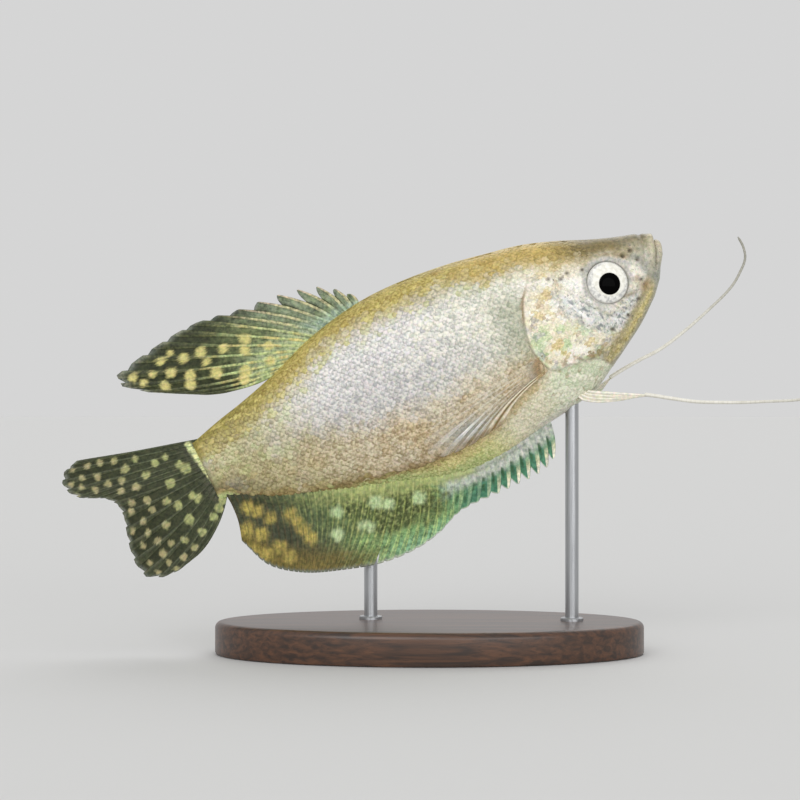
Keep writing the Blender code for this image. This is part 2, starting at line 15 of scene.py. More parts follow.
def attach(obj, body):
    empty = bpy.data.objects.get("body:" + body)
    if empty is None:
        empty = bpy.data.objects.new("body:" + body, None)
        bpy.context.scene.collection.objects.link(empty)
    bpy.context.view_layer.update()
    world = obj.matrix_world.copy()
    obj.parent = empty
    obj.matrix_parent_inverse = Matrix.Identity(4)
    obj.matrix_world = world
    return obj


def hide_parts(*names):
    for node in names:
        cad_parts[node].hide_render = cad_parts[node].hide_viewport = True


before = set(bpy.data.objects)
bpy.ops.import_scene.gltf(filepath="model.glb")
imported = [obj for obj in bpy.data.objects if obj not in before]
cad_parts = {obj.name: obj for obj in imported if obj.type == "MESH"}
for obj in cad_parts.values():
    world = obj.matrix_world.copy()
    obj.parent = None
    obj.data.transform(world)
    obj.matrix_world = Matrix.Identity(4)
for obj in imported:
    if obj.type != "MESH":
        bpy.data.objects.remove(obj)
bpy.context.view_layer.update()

bl_info = {
    "name": "Display gourami",
    "version": (1, 0, 0),
    "blender": (4, 5, 0),
    "location": "View3D > Sidebar > Gourami",
    "description": "Dresses the gourami and its stand, and sets up the studio",
    "category": "Object",
}

MM = 0.001
GAP = 0.3

# The whole fish
PITCH = math.radians(26.0)
TAIL_ROOT = (-40.5, 0.0, 34.5)
TAIL_END = 0.0
CAP_START = 90.5
SNOUT = 93.2
LIP_HEIGHT = 1.0

# Skin relief of the head
GILL_STEP, GILL_FADE = 0.6, 2.6
GILL_TOP = 4.0
GILL_THROAT = -15.5
ORBIT_RIM, ORBIT_RADIUS, ORBIT_SPREAD = 0.5, 5.0, 0.9
CHEEK_DEPTH, CHEEK_SPREAD = 0.4, 0.8
FOLD_DEPTH, FOLD_SPREAD = 0.3, 0.5
LIP_RISE, LIP_SPREAD, LIP_OFFSET = 0.42, 0.55, 0.85
LIP_CORNER = -0.8
SLIT_DEPTH, SLIT_SPREAD = 0.8, 0.17
COAT_DEPTH = 0.10  # the skin lies this far inside the scales' outer face
TRENCH_DEPTH, FLAP_DEPTH = 0.12, 0.10
NOSTRIL_DEPTH, PORE_DEPTH, HEM_DEPTH, PAD_RISE = 0.5, 0.12, 0.16, 0.75

# Eyes
EYE_X, EYE_Z = 80.9, -1.25
EYE_RADIUS, EYE_DOME, EYE_DEPTH, EYE_OUT = 3.9, 1.15, 1.6, 5.2
EYE_TURN = math.radians(11.0)
SOCKET_FLOOR = -1.0

# Fin rays, with half the thickness of a ray and of the web, and half the width of a spine and of a soft ray
DORSAL_SPINES, DORSAL_RAYS = 8, 9
ANAL_SPINES, ANAL_RAYS = 11, 34
CAUDAL_RAYS = 16
PECTORAL_RAYS = 10
DORSAL_BUILD, ANAL_BUILD = (0.24, 0.06, 0.24, 0.24), (0.22, 0.06, 0.42, 0.16)
CAUDAL_BUILD = (0.22, 0.07, 0, 0.12)
PECTORAL_BUILD, PELVIC_BUILD = (0.14, 0.05, 0, 0.1), (0.3, 0.12, 0.24, 0.14)
ROOT_SINK = 1.1  # the rays start this far inside the body

THREAD_BEAT = 7.5  # radians for each millimetre along a thread, which sets its joints 0.84 mm apart

# Scales, in millimetres
PLATE_SIDES, PLATE_THICK, PLATE_ARCH = 12, 0.035, 0.03
PORE_CLEAR, EYE_CLEAR = 0.6, 5.8  # how far the head's scales keep off its pores and the middle of the eye

# Stand
BASE_LENGTH, BASE_WIDTH, BASE_HEIGHT = 80.0, 46.0, 6.0
BASE_EDGE = 1.2
ROD_RADIUS = 1.25
RODS = {"stand_rod_front": ((26.6, 0.0), 50.5), "stand_rod_rear": ((-11.0, 3.5), 47.0)}

# Studio: the camera's place in metres, and each lamp's name, the way it lies and its spread in degrees
CAMERA_PLACE, CAMERA_LENS = (-0.0055, -0.415, 0.0472), 100.0
LAMPS = (("key", (-0.3, -0.9, 0.45), 40.0), ("fill", (0.4, -0.9, 0.08), 40.0),
         ("back", (0.2, 0.7, 0.9), 50.0))

QUARTER = 54  # points round a quarter of the skin's section


def curve(*points):
    """A function of x that runs smoothly through the (x, value) points."""
    xs, ys = (np.array(c, float) for c in zip(*points))
    chord = np.diff(ys) / np.diff(xs)
    slope = np.concatenate([chord[:1], (chord[1:] + chord[:-1]) / 2, chord[-1:]])

    def at(x):
        x = np.clip(x, xs[0], xs[-1])
        i = np.clip(np.searchsorted(xs, x, side="right") - 1, 0, len(xs) - 2)
        width = xs[i + 1] - xs[i]
        t = (x - xs[i]) / width
        start = (2 * t**3 - 3 * t**2 + 1) * ys[i] + (t**3 - 2 * t**2 + t) * width * slope[i]
        return start + (3 * t**2 - 2 * t**3) * ys[i + 1] + (t**3 - t**2) * width * slope[i + 1]

    return at


def path(*points):
    """A function of t, from 0 to 1, that runs smoothly along the points by arc length."""
    points = np.array(points, float)
    steps = np.linalg.norm(np.diff(points, axis=0), axis=1)
    share = np.concatenate([[0.0], np.cumsum(steps)]) / steps.sum()
    axes = [curve(*zip(share, column)) for column in points.T]
    return lambda t: np.array([axis(t) for axis in axes]).T


# Side outline and plan of the body
BACK = curve((-1, 5.9), (5, 7.5), (10, 8.6), (17, 10.5), (27, 13.9), (38, 15.9), (46, 16.0),
             (56, 15.0), (64, 13.5), (70, 12.2), (76, 10.1), (82, 7.5), (86, 6.0), (90.5, 4.6),
             (93.8, 3.7))
BELLY = curve((-1, -5.9), (1, -6.5), (6, -9.2), (10, -11.2), (16, -13.2), (24, -15.8), (31, -18.1),
              (37, -20.1), (43, -21.6), (50, -21.6), (58, -20.4), (66, -19.3), (71, -18.2),
              (76, -15.5), (80, -13.2), (84, -10.8), (88, -7.6), (90.5, -4.9))
HALF_WIDTH = curve((-1, 1.5), (6, 2.4), (14, 3.8), (24, 5.4), (34, 6.7), (46, 7.7), (58, 8.0),
                   (68, 7.7), (76, 6.6), (82, 5.3), (88, 3.8), (93.8, 2.3))
WIDEST = curve((-1, 0.50), (20, 0.54), (45, 0.58), (65, 0.52), (80, 0.48), (93.8, 0.55))
KEEL = curve((-1, 1.1), (10, 1.35), (45, 1.35), (60, 1.15), (70, 1.0), (93.8, 1.0))
BACK_ROUND = 1.05

# Lines on the head and flank
GILL_RIM = path((70.6, 24), (69.7, 12.7), (67.6, 5.6), (65.2, 2.4), (63.6, -1.6), (62.9, -5.5),
                (63.4, -9), (64.7, -11.3), (68.6, -11.9), (72.5, -12.6), (74.6, -14.4), (76.3, -17.5),
                (77.5, -21))
CHEEK_GROOVE = path((73.5, 4.5), (71.8, 0), (72.5, -5), (75.5, -8.6), (80.5, -10))
MOUTH_SLIT = path((94.3, 4.3), (92.9, 2.5), (92.1, 0.4), (91.2, -1.6), (90.5, -3.1))
LIP_FOLD = path((90.7, 5.0), (90.6, 2.8), (89.9, 0.6), (88.9, -1.2))
NOSTRILS = ((85.6, 1.9), (87.5, 2.3))
PORES = ((77.7, 2.9), (74.9, 3.6), (73.4, 3.1), (71.2, 4.1), (71.0, 8.2), (87.9, 0.2), (86.9, -3.4),
         (84.9, -6.4), (81.7, -8.3), (78.0, -9.4))
# Lower edge of the scaled flank, above the band of skin that sheathes the anal fin's base
FLANK_EDGE = curve((-2, -4.2), (1.2, -4.9), (2.8, -6.7), (6.4, -9.1), (12.4, -11.4), (16.4, -12.5),
                   (21.3, -13.8), (27.5, -15.1), (34.9, -16.7), (38.7, -16.9), (44.4, -16.2),
                   (50.3, -14.5), (55.2, -13.0), (59.6, -11.5), (63, -10.4))
GOLD_EDGE = curve((-1, 3.2), (2.9, 3.3), (7.5, 3.9), (14.2, 5.7), (22.5, 8.1), (27.1, 10.2), (33.5, 11.4),
                  (40, 11.4), (47.1, 11.2), (54.3, 11.3), (61, 10.2), (69.3, 8.6), (75.5, 6.4), (80, 4.9),
                  (86, 3.6), (93, 2.6))  # lower edge of the golden back
BROWN_EDGE = curve((-1, -1.5), (8.6, -1.6), (22, -3.2), (35, -6.5), (48, -7.6), (56, -7.5), (63, -6))
SPECKLED_CHEEK = path((73.0, -1.5), (74.7, -4.6), (77.4, -7.6), (81.1, -8.3), (84.6, -6.3))
JAW_STRIPE = path((90.2, -3.3), (87.0, -6.8), (82.7, -10.0), (78.6, -12.8), (75.5, -14.2))

# Fin outlines
DORSAL_FRONT, DORSAL_REAR = 37.8, 17.2
DORSAL_TIPS = path((37.5, 17.8), (33.4, 21.4), (25.9, 23.6), (16.8, 24.6), (9.1, 25.8), (-1.6, 24.8),
                   (-9.5, 22.7), (-5.2, 18.4), (-0.9, 15.9), (3.2, 13.7))
ANAL_ROOT = curve((0, 60.0), (0.23, 41.0), (1, 0.4))
ANAL_LEAN = curve((0, 0), (0.23, 0.32), (0.44, 0.62), (0.85, 0.86), (1, 1))
ANAL_TIPS = path((58.1, -26.3), (55.8, -27.4), (47.7, -27.7), (37.5, -27.7), (32.7, -29.5),
                 (27.8, -30.3), (21.1, -29.9), (13.7, -27.8), (6.3, -24.7), (1.4, -20.7), (-0.9, -15.1))
ANAL_SLIT = 18
DORSAL_CUTS = (0.5, 0.5, 0.5, 0.46, 0.3, 0.16, 0.1, 0.06)  # how far each web is cut back at the next spine
ANAL_CUTS = (0.3, 0.3, 0.3, 0.28, 0.26, 0.22, 0.14, 0.09, 0.07, 0.06, 0.05)
CAUDAL_LEAN = curve((0, 0), (0.5, 0.43), (1, 1))
CAUDAL_TIPS = path((-22.8, 12.1), (-25.6, 11.1), (-26.4, 8.9), (-24.7, 6.0), (-19.9, 3.4), (-18.3, 0.6),
                   (-18.9, -1.8), (-20.3, -7.2), (-20.4, -11.5), (-19.5, -13.2), (-15.3, -14.5),
                   (-10.8, -13.7))
PECTORAL_ROOT = ((63.0, -8.2), (62.0, -11.4))
PECTORAL_TIPS = path((45.5, -9.6), (39.8, -11.2), (36.9, -14.0), (38.6, -16.4), (44.0, -17.2),
                     (51.0, -16.4))
PELVIC_X, PELVIC_HALF, PELVIC_RAYS = 69.2, 2.6, 4
RIGHT_THREAD = path((69.2, -2.6, -18.0), (74.8, -3.4, -20.9), (78.7, -4.0, -23.2), (82.3, -4.8, -25.7),
                    (85.9, -5.6, -28.1), (89.7, -6.4, -30.1), (93.6, -7.2, -32.0), (97.5, -8.0, -33.7),
                    (101.4, -8.8, -35.4), (106.2, -9.4, -37.0), (111.5, -9.8, -38.4))
LEFT_THREAD = path((69.2, 2.6, -18.2), (72.0, 2.9, -18.0), (74.9, 3.3, -17.4), (80.2, 4.8, -17.0),
                   (85.5, 6.4, -16.9), (91.3, 8.0, -15.9), (97.5, 9.6, -14.3), (103.8, 11.2, -12.2),
                   (106.5, 12.0, -10.5), (108.7, 12.7, -8.5), (109.4, 13.2, -6.4), (109.4, 13.6, -4.2))
LOBE_SHARE = {"right": 0.25, "left": 0.13}  # share of each thread along which its fin's lobe runs
LOBE_DEPTH = {"right": 0.45, "left": 0.28}

# Pale spots on the fins, as (x, z, radius)
DORSAL_SPOTS = ((-6.1, 21.7, .8), (-4.6, 20.0, .7), (-2.5, 20.7, .7), (0.0, 22.2, .8), (0.7, 19.5, 1.0),
                (-1.2, 17.7, .9), (2.2, 22.8, .6), (4.1, 20.8, .9), (7.4, 20.4, 1.0), (3.9, 17.4, 1.0),
                (3.1, 15.8, 1.0), (11.5, 19.2, .9), (8.5, 15.7, 1.1), (16.0, 19.0, 1.0), (15.1, 17.1, .9),
                (13.4, 13.5, 1.1), (12.6, 12.3, 1.0), (19.4, 15.9, .9), (18.4, 13.2, .9), (7.7, 18.4, .7))
ANAL_SPOTS = ((17.3, -17.6, 1.1), (24.6, -19.1, 1.2), (26.6, -20.4, 1.1), (32.2, -21.9, 1.2),
              (15.5, -21.4, 1.1), (20.5, -22.0, .9), (21.6, -22.7, .9))
ANAL_GOLD = ((2.7, -9.6, 1.2), (4.0, -10.9, 1.1), (9.2, -14.2, 1.1), (9.7, -16.0, 1.1), (10.2, -17.8, 1.1),
             (10.8, -19.8, 1.1), (0.8, -13.2, 1.3), (2.7, -15.1, 1.3), (0.4, -17.1, 1.0), (1.9, -18.9, 1.2),
             (4.8, -18.8, 1.2), (5.7, -21.2, 1.0), (5.6, -13.2, 1.0))
CAUDAL_SPOTS = ((-12.2, 7.8, .6), (-14.7, 7.0, .7), (-15.9, 9.3, .6), (-18.4, 10.1, .6), (-19.9, 7.9, .6),
                (-20.8, 10.5, .5), (-22.6, 9.0, .5), (-23.5, 7.5, .5), (-24.9, 8.7, .5), (-23.6, 11.1, .4),
                (-21.3, 5.9, .5), (-24.7, 6.4, .4), (-7.1, 5.7, .6), (-9.2, 5.6, .7), (-11.7, 4.3, .7),
                (-4.5, 2.1, 1.0), (-5.1, 3.2, .8), (-8.3, 0.9, .9), (-16.2, 5.3, .6), (-18.7, 5.8, .6),
                (-17.1, 3.6, .6), (-14.3, 3.0, .7), (-16.3, 0.7, .6), (-13.5, -0.1, .7), (-17.0, -0.7, .5),
                (-13.4, -2.1, .6), (-15.9, -3.3, .6), (-8.8, -3.5, .8), (-10.3, -1.9, .7), (-4.9, -3.8, .8),
                (-5.6, -3.0, .7), (-18.3, -4.1, .5), (-15.9, -5.6, .6), (-12.4, -5.7, .7), (-8.1, -6.8, .9),
                (-15.1, -7.7, .6), (-13.0, -9.2, .6), (-10.5, -9.8, .7), (-17.8, -7.4, .5), (-7.0, -9.9, .8),
                (-9.4, -11.8, .6), (-15.2, -10.3, .6), (-12.0, -12.6, .6), (-18.1, -10.8, .5),
                (-15.0, -12.3, .5), (-14.2, -13.9, .4), (-17.4, -13.0, .4), (-3.8, -8.3, .8),
                (-0.9, -6.3, .8), (-2.2, -7.2, .8))
CAUDAL_BAR = path((-2.2, 6.0), (-1.9, 4.2), (-1.4, 0.8), (-0.9, -1.6), (-0.1, -3.8))


def smooth(low, high, value):
    """Rises smoothly from 0 at low to 1 at high, or falls where low is the larger."""
    t = np.clip((np.asarray(value, float) - low) / (high - low), 0.0, 1.0)
    return t * t * (3.0 - 2.0 * t)


def linear(code):
    """Linear RGB of an sRGB hex colour."""
    parts = np.array([int(code[i:i + 2], 16) for i in (1, 3, 5)]) / 255.0
    return np.where(parts <= 0.04045, parts / 12.92, ((parts + 0.055) / 1.055) ** 2.4)


def cloud(points, size, shift=0.0):
    """Soft noise, about -1 to 1, whose patches are about size millimetres across."""
    return 1.6 * np.array([noise.noise(Vector(p)) for p in (points / size + shift).tolist()])


def to_model(points, direction=False):
    """Fish-frame millimetres to model-frame metres, or directions turned alike."""
    x, y, z = np.moveaxis(np.asarray(points, float), -1, 0)
    turned = np.stack([x * math.cos(PITCH) - z * math.sin(PITCH), y,
                       x * math.sin(PITCH) + z * math.cos(PITCH)], axis=-1)
    return turned if direction else (turned + TAIL_ROOT) * MM


def body_levels(x):
    """Top, bottom, half width and height of the widest line of the body's section at x."""
    u = np.clip((x - CAP_START) / (SNOUT - CAP_START), 0.0, 1.0)
    round_share = np.sqrt(1.0 - u**2)
    top = LIP_HEIGHT + (BACK(x) - LIP_HEIGHT) * round_share
    bottom = LIP_HEIGHT + (BELLY(x) - LIP_HEIGHT) * (1.0 - u) ** 0.75
    end = np.sqrt(1.0 - np.clip(-x / 1.45, 0.0, 0.995) ** 2)
    return top, bottom, HALF_WIDTH(x) * round_share * end, bottom + WIDEST(x) * (top - bottom)


def section(x, angle):
    """The (y, z) of the plain body surface at x, by the angle round its section."""
    top, bottom, half, middle = body_levels(x)
    across, up = np.cos(angle), np.sin(angle)
    power = np.where(up > 0, BACK_ROUND, KEEL(x))
    height = np.where(up > 0, top - middle, middle - bottom)
    return (half * np.sign(across) * np.abs(across) ** power,
            middle + height * np.sign(up) * np.abs(up) ** power)


def flank(x, z):
    """Half width of the plain body at x and height z."""
    top, bottom, half, middle = body_levels(x)
    above = z > middle
    power = np.where(above, BACK_ROUND, KEEL(x))
    reach = np.where(above, (z - middle) / (top - middle), (middle - z) / (middle - bottom))
    up = np.clip(reach, 0.0, 1.0) ** (1.0 / power)
    return half * np.maximum(1.0 - up**2, 0.0) ** (power / 2)


def under(x, y):
    """Height of the plain body's lower surface at x, y off the middle plane."""
    _, bottom, half, middle = body_levels(x)
    across = min(abs(y) / half, 1.0) ** (1.0 / float(KEEL(x)))
    return float(middle - (middle - bottom) * math.sqrt(1.0 - across**2) ** float(KEEL(x)))


def line_distance(line, x, z, signed=False):
    """Distance from each (x, z) to a sampled line, positive to the left of its direction if signed."""
    along = np.gradient(line, axis=0)
    shape = np.shape(x)
    x, z = np.ravel(x), np.ravel(z)
    nearest = np.empty(len(x), int)
    for start in range(0, len(x), 20000):
        part = slice(start, start + 20000)
        gaps = (x[part, None] - line[:, 0]) ** 2 + (z[part, None] - line[:, 1]) ** 2
        nearest[part] = np.argmin(gaps, axis=1)
    dx, dz = x - line[nearest, 0], z - line[nearest, 1]
    tx, tz = along[nearest].T / np.linalg.norm(along[nearest], axis=1)
    beside = tx * dz - tz * dx
    ends = (nearest == 0) | (nearest == len(line) - 1)
    size = np.where(ends, np.hypot(dx, dz), np.abs(beside))
    return (np.where(beside < 0, -size, size) if signed else size).reshape(shape)


def ridge(distance, spread):
    """A rounded ridge's height, from 1 on its crest to nothing a few spreads away."""
    return np.exp(-((distance / spread) ** 2))


RIM_LINE = GILL_RIM(np.linspace(0, 1, 400))
GROOVE_LINE = CHEEK_GROOVE(np.linspace(0, 1, 120))
SLIT_LINE = MOUTH_SLIT(np.linspace(0, 1, 120))
FOLD_LINE = LIP_FOLD(np.linspace(0, 1, 80))
CHEEK_LINE = SPECKLED_CHEEK(np.linspace(0, 1, 80))
STRIPE_LINE = JAW_STRIPE(np.linspace(0, 1, 80))


def eye_reach(points):
    """How far each point is from the nearer eye's axis, and how far out along it."""
    side = np.where(points[..., 1] < 0, -1.0, 1.0)
    axis = np.stack([np.full_like(side, math.sin(EYE_TURN)), side * math.cos(EYE_TURN), 0 * side], axis=-1)
    centre = np.stack([np.full_like(side, EYE_X), side * EYE_OUT, np.full_like(side, EYE_Z)], axis=-1)
    out = ((points - centre) * axis).sum(axis=-1)
    return np.linalg.norm(points - centre - out[..., None] * axis, axis=-1), out, axis


def skin_relief(x, z, rim):
    """How far the finished skin stands off the plain body."""
    fade = np.clip((GILL_TOP + 3.0 - z) / 4.0, 0, 1) * np.clip((z - GILL_THROAT) / 4.0, 0.1, 1)
    gill = GILL_STEP * np.exp(-np.maximum(rim, 0) / GILL_FADE) * smooth(-0.14, 0.06, rim) * fade
    gill -= TRENCH_DEPTH * fade * np.exp(-np.maximum(-rim, 0) / 0.8) * smooth(0.02, -0.15, rim)
    # The flap of skin along the cover's edge, set off by a shallow furrow
    gill -= FLAP_DEPTH * fade * ridge(rim - 1.1, 0.35)
    orbit = ORBIT_RIM * ridge(np.hypot(x - EYE_X, z - EYE_Z) - ORBIT_RADIUS, ORBIT_SPREAD)
    cheek = CHEEK_DEPTH * ridge(line_distance(GROOVE_LINE, x, z), CHEEK_SPREAD)
    fold = FOLD_DEPTH * ridge(line_distance(FOLD_LINE, x, z), FOLD_SPREAD)
    slit = line_distance(SLIT_LINE, x, z)
    lips = LIP_RISE * ridge(slit - LIP_OFFSET, LIP_SPREAD) * np.clip((z - LIP_CORNER) / 2.0 + 1.0, 0, 1)
    groove = SLIT_DEPTH * ridge(slit, SLIT_SPREAD) * smooth(-3.6, -2.2, z)
    pits = sum(PORE_DEPTH * ridge(np.hypot(x - a, z - b), 0.17) for a, b in PORES)
    for a, b in NOSTRILS:
        away = np.hypot(x - a, z - b)
        pits = pits + NOSTRIL_DEPTH * ridge(away, 0.38) - 0.12 * ridge(away - 0.6, 0.2)
    below = z - FLANK_EDGE(x)
    hem = HEM_DEPTH * ridge(below, 0.3) * smooth(66, 62, x) * smooth(0, 4, x)
    pad = PAD_RISE * ridge(np.hypot((x - 62.9) / 1.1, (z + 9.8) / 2.0), 0.8) * smooth(0.3, -0.4, rim)
    return gill + orbit - cheek - fold + lips - groove - pits - hem + pad


def bare(x, z):
    """1 where the skin carries no scales: snout, lips, the ring round the eye and the crest of the back."""
    snout = smooth(84.0, 86.0, x + 0.35 * z)
    ring = smooth(5.7, 5.2, np.hypot(x - EYE_X, z - EYE_Z))
    crest = smooth(0.2, 0.06, BACK(x) - z)
    return np.clip(snout + ring + crest, 0, 1)


def skin_grid():
    """The skin's points, plain normals, stations and quarter lengths, in the fish's frame."""
    stations = np.concatenate([
        -1.45 * np.cos(np.radians(np.arange(6, 90, 12))), np.arange(0.0, 60.0, 0.5),
        np.arange(60.0, 75.0, 0.17), np.arange(75.0, CAP_START, 0.125),
        CAP_START + (SNOUT - CAP_START) * np.sin(np.radians(np.arange(0.0, 88.5, 2.4)))])
    dense = np.linspace(0, math.pi / 2, 70)
    angles, lengths = [], []
    for x in stations:
        row, spans = [], []
        for quarter in range(4):
            angle = quarter * math.pi / 2 + dense
            y, z = section(x, angle)
            run = np.concatenate([[0.0], np.cumsum(np.hypot(np.diff(y), np.diff(z)))])
            row.append(np.interp(np.arange(QUARTER) / QUARTER * run[-1], run, angle))
            spans.append(run[-1])
        angles.append(np.concatenate(row))
        lengths.append((spans[0], spans[3]))
    angles = np.array(angles)
    x = np.repeat(stations[:, None], angles.shape[1], axis=1)
    y, z = section(x, angles)
    plain = np.stack([x, y, z], axis=-1)
    across = np.roll(plain, -1, axis=1) - np.roll(plain, 1, axis=1)
    normals = np.cross(across, np.gradient(plain, axis=0))
    normals /= np.linalg.norm(normals, axis=2)[..., None]
    rim = line_distance(RIM_LINE, x, z, signed=True)
    depth = skin_relief(x, z, rim) - COAT_DEPTH * (1 - bare(x, z)) * smooth(-1.5, 1.0, x)
    points = plain + normals * depth[..., None]
    reach, out, axis = eye_reach(points)
    sink = smooth(4.0, 3.72, reach) * (out > -3.0)
    points = points + axis * (sink * (SOCKET_FLOOR - out))[..., None]
    return {"points": points, "normals": normals, "stations": stations, "lengths": np.array(lengths)}


def on_grid(grid, x, round_index, key="points"):
    """Values of the grid at x and at a position round the ring, between its points."""
    values = grid[key]
    i = np.interp(x, grid["stations"], np.arange(len(grid["stations"])))
    i0 = np.clip(i.astype(int), 0, len(values) - 2)
    k0 = np.floor(round_index).astype(int)
    along, beside = (i - i0)[:, None], (round_index - k0)[:, None]
    count = values.shape[1]
    low = values[i0, k0 % count] * (1 - beside) + values[i0, (k0 + 1) % count] * beside
    high = values[i0 + 1, k0 % count] * (1 - beside) + values[i0 + 1, (k0 + 1) % count] * beside
    return low * (1 - along) + high * along


def body_colours(points):
    """Light and dark tone of the fish's skin at each fish-frame point, as linear RGB."""
    x, y, z = points.T
    rim = line_distance(RIM_LINE, x, z, signed=True)
    fleck, patch, blotch = cloud(points, 0.9, 7.3), cloud(points, 2.2), cloud(points, 5.5, 3.1)
    down, beyond, slit = z - BELLY(x), z - FLANK_EDGE(x), line_distance(SLIT_LINE, x, z)
    tones = np.repeat(np.array([linear("#DFDDD9"), linear("#ABA9A8")])[None], len(x), axis=0)

    def paint(light, dark, mask):
        pair = np.array([linear(light), linear(dark)])
        share = np.clip(mask, 0, 1)[:, None, None]
        tones[:] = tones * (1 - share) + pair * share

    def blot(middle_x, middle_z, width, height, soft=1.0, slope=0.0):
        """A soft-edged oval, from 1 in its middle, tipped by the slope."""
        beside = x - middle_x
        return ridge(np.hypot(beside / width, (z - middle_z + slope * beside) / height), soft)

    # Flank: lilac silver, warmer towards the head, brown low down, olive gold towards the tail
    paint("#E4E2D3", "#B1B2A1", smooth(42, 62, x + 3 * patch))
    paint("#ECE9D8", "#CBC9B4", 0.7 * smooth(0.0, 0.7, fleck + 0.4 * blotch) * smooth(30, 50, x))
    paint("#B7B9A2", "#8C907A", 0.9 * smooth(56, 62, x) * smooth(6, 2, z))
    brown = smooth(4.2, -4.6, z - BROWN_EDGE(x) + 1.6 * patch + fleck)
    paint("#E0D6B8", "#A5916C", 0.9 * brown * smooth(66, 61, x))
    paint("#DCC89C", "#9E8358", 0.65 * brown * smooth(-0.7, 0.7, blotch + 0.6 * patch) * smooth(64, 58, x))
    paint("#BEB688", "#8F8458", 0.85 * smooth(28, 4, x + 3 * patch + 0.3 * z))
    paint("#B5A870", "#837546", 0.55 * smooth(-0.1, 0.7, patch + 0.4 * fleck) * smooth(24, 8, x))
    paint("#D8D6D2", "#AEAAA6", 0.6 * smooth(0.15, 0.8, blotch) * smooth(20, 10, x))
    paint("#D2DAA4", "#A3AA70", 0.4 * smooth(0.0, 0.5, cloud(points, 1.4, 71.0)) * smooth(24, 14, x)
          * smooth(-6.5, -2.5, z))
    paint("#6F674C", "#504A34", 0.95 * smooth(6.0, 1.2, down + patch) * smooth(14, 1, x + 1.5 * fleck))
    paint("#CBBF85", "#9A8C58", 0.6 * ridge(beyond - 1.0, 0.9) * smooth(1, 5, x) * smooth(26, 16, x))
    paint("#A28658", "#7F663E", 0.6 * ridge(beyond - 0.2, 0.9) * smooth(3, 8, x) * smooth(64, 60, x))
    near_gold = z - GOLD_EDGE(x)
    paint("#CFDCB4", "#9FAC80", 0.75 * ridge(near_gold + 1.0, 2.2) * smooth(-0.05, 0.5, fleck))
    gold = smooth(-3.4, 2.6, near_gold + 0.45 * patch + 0.5 * fleck + 1.6 * smooth(62, 76, x))
    paint("#C4B66A", "#937E3C", gold)
    paint("#9F944A", "#74662B", gold * smooth(22, 6, x))
    paint("#D6CB80", "#AC9B50", gold * 0.7 * smooth(0.3, 0.8, fleck) * smooth(66, 60, x))
    paint("#C0A564", "#94773A", gold * 0.8 * smooth(0.0, 0.7, patch) * smooth(46, 58, x))
    paint("#CBB46B", "#A38B49", gold * smooth(52, 62, x))
    paint("#877A50", "#675A38", gold * smooth(71, 81, x))
    # Painted highlight: the shiny blue-white patch under the pectoral fin, over pale scales
    paint("#EEF0EE", "#A3AAAB", 0.85 * blot(45.8, -14.4, 4.2, 1.5))
    # Sheath of the anal fin's base, and breast
    sheath = smooth(0.25, -0.3, beyond) * smooth(66.0, 62.5, x - 0.25 * (z + 12))
    paint("#F0ECA8", "#C6C47A", sheath)
    paint("#CBD99C", "#93A566", 0.8 * sheath * smooth(3.5, 0.8, down + 0.8 * patch) * smooth(54, 44, x))
    paint("#E3D69C", "#B8A566", sheath * smooth(-3.8, -0.8, beyond) * smooth(32, 44, x))
    paint("#EDE9D0", "#CBC5A6", sheath * smooth(44, 54, x + 0.4 * (z + 14)))
    paint("#D8C08A", "#B0975F", 0.7 * ridge(beyond + 1.4, 1.1) * smooth(44, 51, x) * smooth(64, 61, x))
    paint("#A08757", "#7A643A", 0.8 * ridge(beyond + 0.2, 0.6) * smooth(63, 60, x))
    breast = smooth(60.5, 65.0, x - 0.2 * (z + 12)) * smooth(-8.0, -11.0, z) * smooth(0.5, -0.3, rim)
    paint("#F0F1DC", "#CDCEB2", breast)
    paint("#DCE5C8", "#B2BE9A", 0.7 * breast * smooth(-0.1, 0.5, patch))
    paint("#B9AC88", "#8F8160", 0.7 * breast * smooth(0.2, 0.7, fleck + 0.3 * blotch))
    paint("#F4F1E4", "#CFCBBB", 0.8 * smooth(2.2, 0.6, down) * smooth(56, 60, x) * smooth(67, 64, x))
    # Head
    loose = smooth(2.5, 6.5, z)
    head = smooth(-0.2 - 2.0 * loose, 0.25 + 2.0 * loose, rim + (0.8 * patch + 0.4 * fleck) * loose)
    plain = head * (1 - gold)
    paint("#F3EDD4", "#D8CDAE", plain)
    paint("#FCFAF0", "#E2DFD2", 0.8 * plain * smooth(-0.1, 0.5, patch + 0.5 * blotch))
    paint("#D6E2B8", "#A2B686", 0.9 * plain * smooth(0.0, 0.6, cloud(points, 2.3, 11.0))
          * smooth(0, -5, z + 0.3 * (x - 66)))
    paint("#E6D796", "#BBA05C", 0.75 * plain * smooth(0.1, 0.7, cloud(points, 2.2, 21.0) + 0.4 * fleck))
    paint("#D2BA98", "#A58868", 0.65 * plain * smooth(0.25, 0.8, cloud(points, 1.7, 31.0) + 0.3 * fleck))
    paint("#C6C7C3", "#929491", 0.7 * plain * smooth(0.3, 0.8, cloud(points, 1.5, 41.0) + 0.3 * fleck))
    speckled = ridge(line_distance(CHEEK_LINE, x, z), 2.5)
    streaked = points * (1.0, 1.0, 0.6) + 0.5 * points[:, ::-1] * (1.0, 0.0, 0.0)
    paint("#E4E5E0", "#B4B7B4", head * speckled * 0.9)
    paint("#FBFBF6", "#DADBD6", 0.9 * head * speckled * smooth(0.1, 0.5, cloud(streaked, 0.7, 61.0)))
    paint("#8C9293", "#6C7273", 0.9 * head * speckled * smooth(0.3, 0.6, cloud(streaked, 0.62, 51.0)))
    paint("#FEFCF4", "#DEDCD2", 0.95 * head * blot(75.3, 1.2, 2.2, 2.6))
    paint("#F8F6EC", "#D4D1C2", 0.75 * blot(66.2, 5.0, 1.8, 3.4) * (1 - 0.6 * gold))
